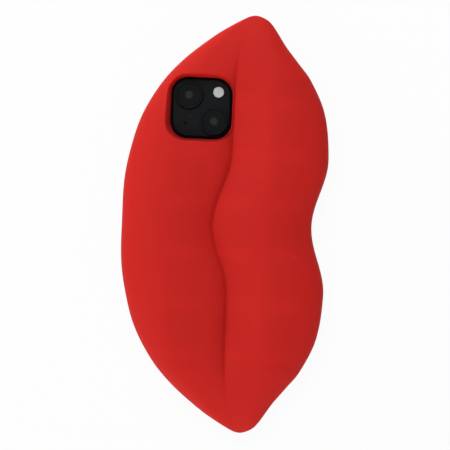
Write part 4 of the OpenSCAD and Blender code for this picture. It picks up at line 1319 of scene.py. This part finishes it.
def build_grille_cloth():
    """Woven cloth behind the loudspeaker's grille, of two crossed sets of wires."""
    spot, extent = centre("speaker_mesh"), size("speaker_mesh")
    pitch, edge_gap = 0.2, 0.1
    rig = Rig("Grille cloth", woven("grille_cloth", (0.10, 0.10, 0.105)), {
        "Wires across": int(extent.x / pitch),
        "Wires up": int(extent.z / pitch),
        "Pitch": pitch * MM,
        "Wire": 0.045 * MM,
        "Cloth width": (extent.x - edge_gap) * MM,
        "Cloth height": (extent.z - edge_gap) * MM,
        "Place": tuple(spot * MM),
    })
    profile = rig.make("CurvePrimitiveCircle", {"Resolution": 5, "Radius": rig["Wire"]},
                       mode="RADIUS")

    def wire_set(count, span, along, across):
        """Wires that run along one axis, side by side across another."""
        start, end = (rig.vector({along: span * 0.5 * side}) for side in (-1.0, 1.0))
        line = rig.make("CurvePrimitiveLine", {"Start": start, "End": end})
        first = (count - 1.0) * (rig["Pitch"] * -0.5)
        points = rig.make("MeshLine", {"Count": count, "Start Location": rig.vector({across: first}),
                                       "Offset": rig.vector({across: rig["Pitch"]})})
        return rig.make("InstanceOnPoints",
                        {"Points": points, "Instance": rig.swept(line, profile, True)})

    cloth = rig.joined([wire_set(rig["Wires across"], rig["Cloth height"], 2, 0),
                        wire_set(rig["Wires up"], rig["Cloth width"], 0, 2)])
    stand_in(rig.grow("grille_cloth", rig.moved(cloth, rig["Place"])),
             "speaker_mesh", "phone")


# ---------------------------------------------------------------- charging

def build_coil():
    """The charging coil, a flat spiral of ribbon."""
    low, extent = level("charging_coil", top=False), size("charging_coil")
    rig = Rig("Charging coil", finish("copper_wire"), {
        "Turns": 12.0,
        "Inner radius": 10.9 * MM,
        "Outer radius": (extent.x / 2 - 0.45) * MM,
        "Ribbon width": 0.72 * MM,
        "Ribbon height": 0.26 * MM,
        "Place": (PHONE_X * MM, 0.0, (low + 0.15) * MM),
    })
    spiral = rig.make("CurveSpiral", {
        "Resolution": 64, "Rotations": rig["Turns"], "Height": 0.0,
        "Start Radius": rig["Inner radius"], "End Radius": rig["Outer radius"]})
    upright = rig.make("SetCurveNormal", {"Curve": spiral}, mode="Z_UP")
    ribbon = rig.make("CurvePrimitiveQuadrilateral",
                      {0: rig["Ribbon width"], 1: rig["Ribbon height"]})
    coil = rig.moved(rig.swept(upright, ribbon, True), rig["Place"])
    stand_in(rig.grow("coil_winding", coil, 50), "charging_coil", "phone")


def build_magnets():
    """The ring of magnets round the charging coil."""
    extent = size("magnet_ring")
    rig = Rig("Magnet ring", finish("magnet_nickel"), {
        "Count": 18,
        "Middle radius": (extent.x / 2 - 1.85) * MM,
        "Magnet size": (3.4 * MM, 6.5 * MM, extent.z * MM),
        "Place": tuple(centre("magnet_ring") * MM),
    })
    ring = rig.make("MeshCircle", {"Vertices": rig["Count"], "Radius": rig["Middle radius"]})
    facing = rig.node("FunctionNodeAlignRotationToVector", {"axis": "X"},
                      {"Vector": rig.make("InputPosition")})
    magnet = rig.make("MeshCube", {"Size": rig["Magnet size"],
                                   "Vertices X": 4, "Vertices Y": 6, "Vertices Z": 2})
    ring = rig.make("InstanceOnPoints", {"Points": ring, "Instance": magnet, "Rotation": facing})
    half_step = rig.vector({2: math.pi / rig["Count"]})
    stand_in(rig.grow("magnets", rig.moved(ring, rig["Place"], half_step)),
             "magnet_ring", "phone")


def dress_the_rest():
    """Gives each frame part that still shows the material of its slot."""
    slots = {part["node"]: part["material_slot"] for part in frame["record"]["subparts"]}
    for node, piece in frame["nodes"].items():
        if piece.hide_render:
            continue
        piece.data.materials.clear()
        piece.data.materials.append(finish(slots[node]))


# ---------------------------------------------------------------- stage

# Each lamp's turn about the case and its height, in degrees, and its share of the power.
LAMPS = ((135, 12, 4.0), (225, 12, 5.7), (270, 12, 6.4), (315, 12, 4.5), (90, 12, 3.9),
         (135, 50, 5.0), (180, 50, 0.9), (270, 50, 1.4), (90, 50, 5.8))
LAMP_SIZE = 0.8      # side of each square lamp, in metres
LAMP_AIM = 0.01      # height above the table at which the lamps point
EDGE_HEIGHT = 0.006  # height of the case's edge, from which the camera's distance is measured
TABLE_REACH = 4.0    # half the table's side
TABLE_Z = -5e-5      # the table lies this little below the rim of the case
TABLE_GLOW = 0.94    # share of the table's own white where the camera sees it


def lamp(name, power, spot):
    """A soft square lamp turned towards the case."""
    data = bpy.data.lights.new(name, "AREA")
    data.shape = "RECTANGLE"
    data.size = data.size_y = LAMP_SIZE
    data.energy = power
    piece = bpy.data.objects.new(name, data)
    piece.location = spot
    aim = Vector((0, 0, LAMP_AIM)) - Vector(spot)
    piece.rotation_euler = aim.to_track_quat("-Z", "Y").to_euler()
    bpy.context.scene.collection.objects.link(piece)


def build_camera(look):
    """The camera, straight above the table."""
    data = bpy.data.cameras.new("Camera")
    data.sensor_width = 36
    data.lens = data.sensor_width * look.distance / look.view_width
    data.clip_start, data.clip_end = 0.01, 20
    camera = bpy.data.objects.new("Camera", data)
    camera.location = (look.aim[0], look.aim[1], look.distance + EDGE_HEIGHT)
    camera.rotation_euler = (0, 0, look.lean)
    bpy.context.scene.collection.objects.link(camera)
    bpy.context.scene.camera = camera


def build_world(look):
    """An even sky: white where the camera sees it, and dim as a light."""
    world = bpy.data.worlds.new("Studio")
    world.use_nodes = True
    studio = Tree(world.node_tree)
    seen = studio.node("ShaderNodeLightPath")
    strength = studio.node("ShaderNodeMath", {"operation": "MULTIPLY_ADD"},
                           {0: seen, 1: 1 - look.sky, 2: look.sky})
    background = world.node_tree.nodes["Background"]
    background.inputs["Color"].default_value = (1, 1, 1, 1)
    studio.feed(background.inputs["Strength"], strength)
    bpy.context.scene.world = world


def build_table():
    """A white table that keeps a faint shadow."""
    shade = Shade("white_table")
    shade.surface(Base_Color=(0.86, 0.86, 0.86, 1), Roughness=0.9, Specular_IOR_Level=0.0)
    glow = shade.node("ShaderNodeEmission", None, {"Color": (1, 1, 1, 1), "Strength": 1.0})
    seen = shade.node("ShaderNodeLightPath")
    lit = Wire(shade, shade.shader.outputs[0])
    mix = shade.node("ShaderNodeMixShader", None, {0: seen * TABLE_GLOW, 1: lit, 2: glow})
    shade.feed(shade.output.inputs[0], mix)
    mesh = bpy.data.meshes.new("table")
    mesh.from_pydata([(x * TABLE_REACH, y * TABLE_REACH, TABLE_Z)
                      for x, y in ((-1, -1), (1, -1), (1, 1), (-1, 1))], [], [(0, 1, 2, 3)])
    placed("table", mesh, shade.material)


def build_stage(look):
    """Camera overhead, soft lamps all round, and a white table."""
    build_camera(look)
    for turn, height, share in LAMPS:
        a, up = math.radians(turn), math.radians(height)
        out = look.lamp_reach * math.cos(up)
        lamp(f"Lamp_{turn}_{height}", look.lamp_power * share,
             (out * math.cos(a), out * math.sin(a), look.lamp_reach * math.sin(up)))
    build_world(look)
    build_table()
    bpy.context.scene.view_settings.view_transform = "Standard"


# ---------------------------------------------------------------- add-on

class LIPS_OT_case(bpy.types.Operator):
    """Builds the soft case shaped like lips"""

    bl_idname = "lips.case"
    bl_label = "Soft case"

    def execute(self, context):
        build_case(context.scene.lips_shape)
        return {"FINISHED"}


class LIPS_OT_screen_bead(bpy.types.Operator):
    """Builds the bead that holds the phone by its screen's edge"""

    bl_idname = "lips.screen_bead"
    bl_label = "Screen bead"

    def execute(self, context):
        build_screen_bead(context.scene.lips_shape)
        return {"FINISHED"}


class LIPS_OT_back_glass(bpy.types.Operator):
    """Builds the back glass and its camera plateau"""

    bl_idname = "lips.back_glass"
    bl_label = "Back glass"

    def execute(self, context):
        build_back_glass()
        return {"FINISHED"}


class LIPS_OT_cameras(bpy.types.Operator):
    """Builds both cameras: ring, cover, barrel and front element"""

    bl_idname = "lips.cameras"
    bl_label = "Cameras"

    def execute(self, context):
        build_lens("main", 4.8, "focus_lens")
        build_lens("wide", 4.2, "phone")
        return {"FINISHED"}


class LIPS_OT_flash(bpy.types.Operator):
    """Builds the frosted flash lens"""

    bl_idname = "lips.flash"
    bl_label = "Flash"

    def execute(self, context):
        build_flash()
        return {"FINISHED"}


class LIPS_OT_buttons(bpy.types.Operator):
    """Builds the buttons and the ring switch"""

    bl_idname = "lips.buttons"
    bl_label = "Buttons"

    def execute(self, context):
        build_buttons()
        return {"FINISHED"}


class LIPS_OT_band(bpy.types.Operator):
    """Builds the metal band"""

    bl_idname = "lips.band"
    bl_label = "Band"

    def execute(self, context):
        build_band()
        return {"FINISHED"}


class LIPS_OT_port(bpy.types.Operator):
    """Builds the charging port and its contacts"""

    bl_idname = "lips.port"
    bl_label = "Charging port"

    def execute(self, context):
        build_port()
        return {"FINISHED"}


class LIPS_OT_grille_cloth(bpy.types.Operator):
    """Builds the cloth behind the loudspeaker's grille"""

    bl_idname = "lips.grille_cloth"
    bl_label = "Grille cloth"

    def execute(self, context):
        build_grille_cloth()
        return {"FINISHED"}


class LIPS_OT_coil(bpy.types.Operator):
    """Builds the charging coil and its magnets"""

    bl_idname = "lips.coil"
    bl_label = "Coil and magnets"

    def execute(self, context):
        build_coil()
        build_magnets()
        return {"FINISHED"}


class LIPS_OT_finishes(bpy.types.Operator):
    """Gives the remaining frame parts their materials"""

    bl_idname = "lips.finishes"
    bl_label = "Finishes inside"

    def execute(self, context):
        dress_the_rest()
        return {"FINISHED"}


class LIPS_OT_stage(bpy.types.Operator):
    """Builds the camera, the lamps and the table"""

    bl_idname = "lips.stage"
    bl_label = "Stage"

    def execute(self, context):
        build_stage(context.scene.lips_stage)
        return {"FINISHED"}


STEPS = (LIPS_OT_case, LIPS_OT_screen_bead, LIPS_OT_back_glass, LIPS_OT_cameras, LIPS_OT_flash,
         LIPS_OT_buttons, LIPS_OT_band, LIPS_OT_port, LIPS_OT_grille_cloth, LIPS_OT_coil,
         LIPS_OT_finishes, LIPS_OT_stage)


class LIPS_PT_sidebar(bpy.types.Panel):
    """Lists the steps that dress the telephone"""

    bl_idname = "LIPS_PT_sidebar"
    bl_label = "Lips telephone"
    bl_space_type = "VIEW_3D"
    bl_region_type = "UI"
    bl_category = "Lips telephone"

    def draw(self, context):
        for step in STEPS:
            self.layout.operator(step.bl_idname)
        for group in (context.scene.lips_shape, context.scene.lips_look, context.scene.lips_stage):
            column = self.layout.column()
            for key in group.__annotations__:
                column.prop(group, key)


CLASSES = (LipShape, FinishLook, StageLook, *STEPS, LIPS_PT_sidebar)


def register():
    """Makes the properties, the steps and the panel known."""
    for each in CLASSES:
        bpy.utils.register_class(each)
    bpy.types.Scene.lips_shape = bpy.props.PointerProperty(type=LipShape)
    bpy.types.Scene.lips_look = bpy.props.PointerProperty(type=FinishLook)
    bpy.types.Scene.lips_stage = bpy.props.PointerProperty(type=StageLook)


def unregister():
    """Takes them away again."""
    del bpy.types.Scene.lips_shape, bpy.types.Scene.lips_look, bpy.types.Scene.lips_stage
    for each in reversed(CLASSES):
        bpy.utils.unregister_class(each)


def main():
    """Runs the steps in order."""
    register()
    for step in STEPS:
        family, name = step.bl_idname.split(".")
        getattr(getattr(bpy.ops, family), name)()


if __name__ == "__main__":
    main()
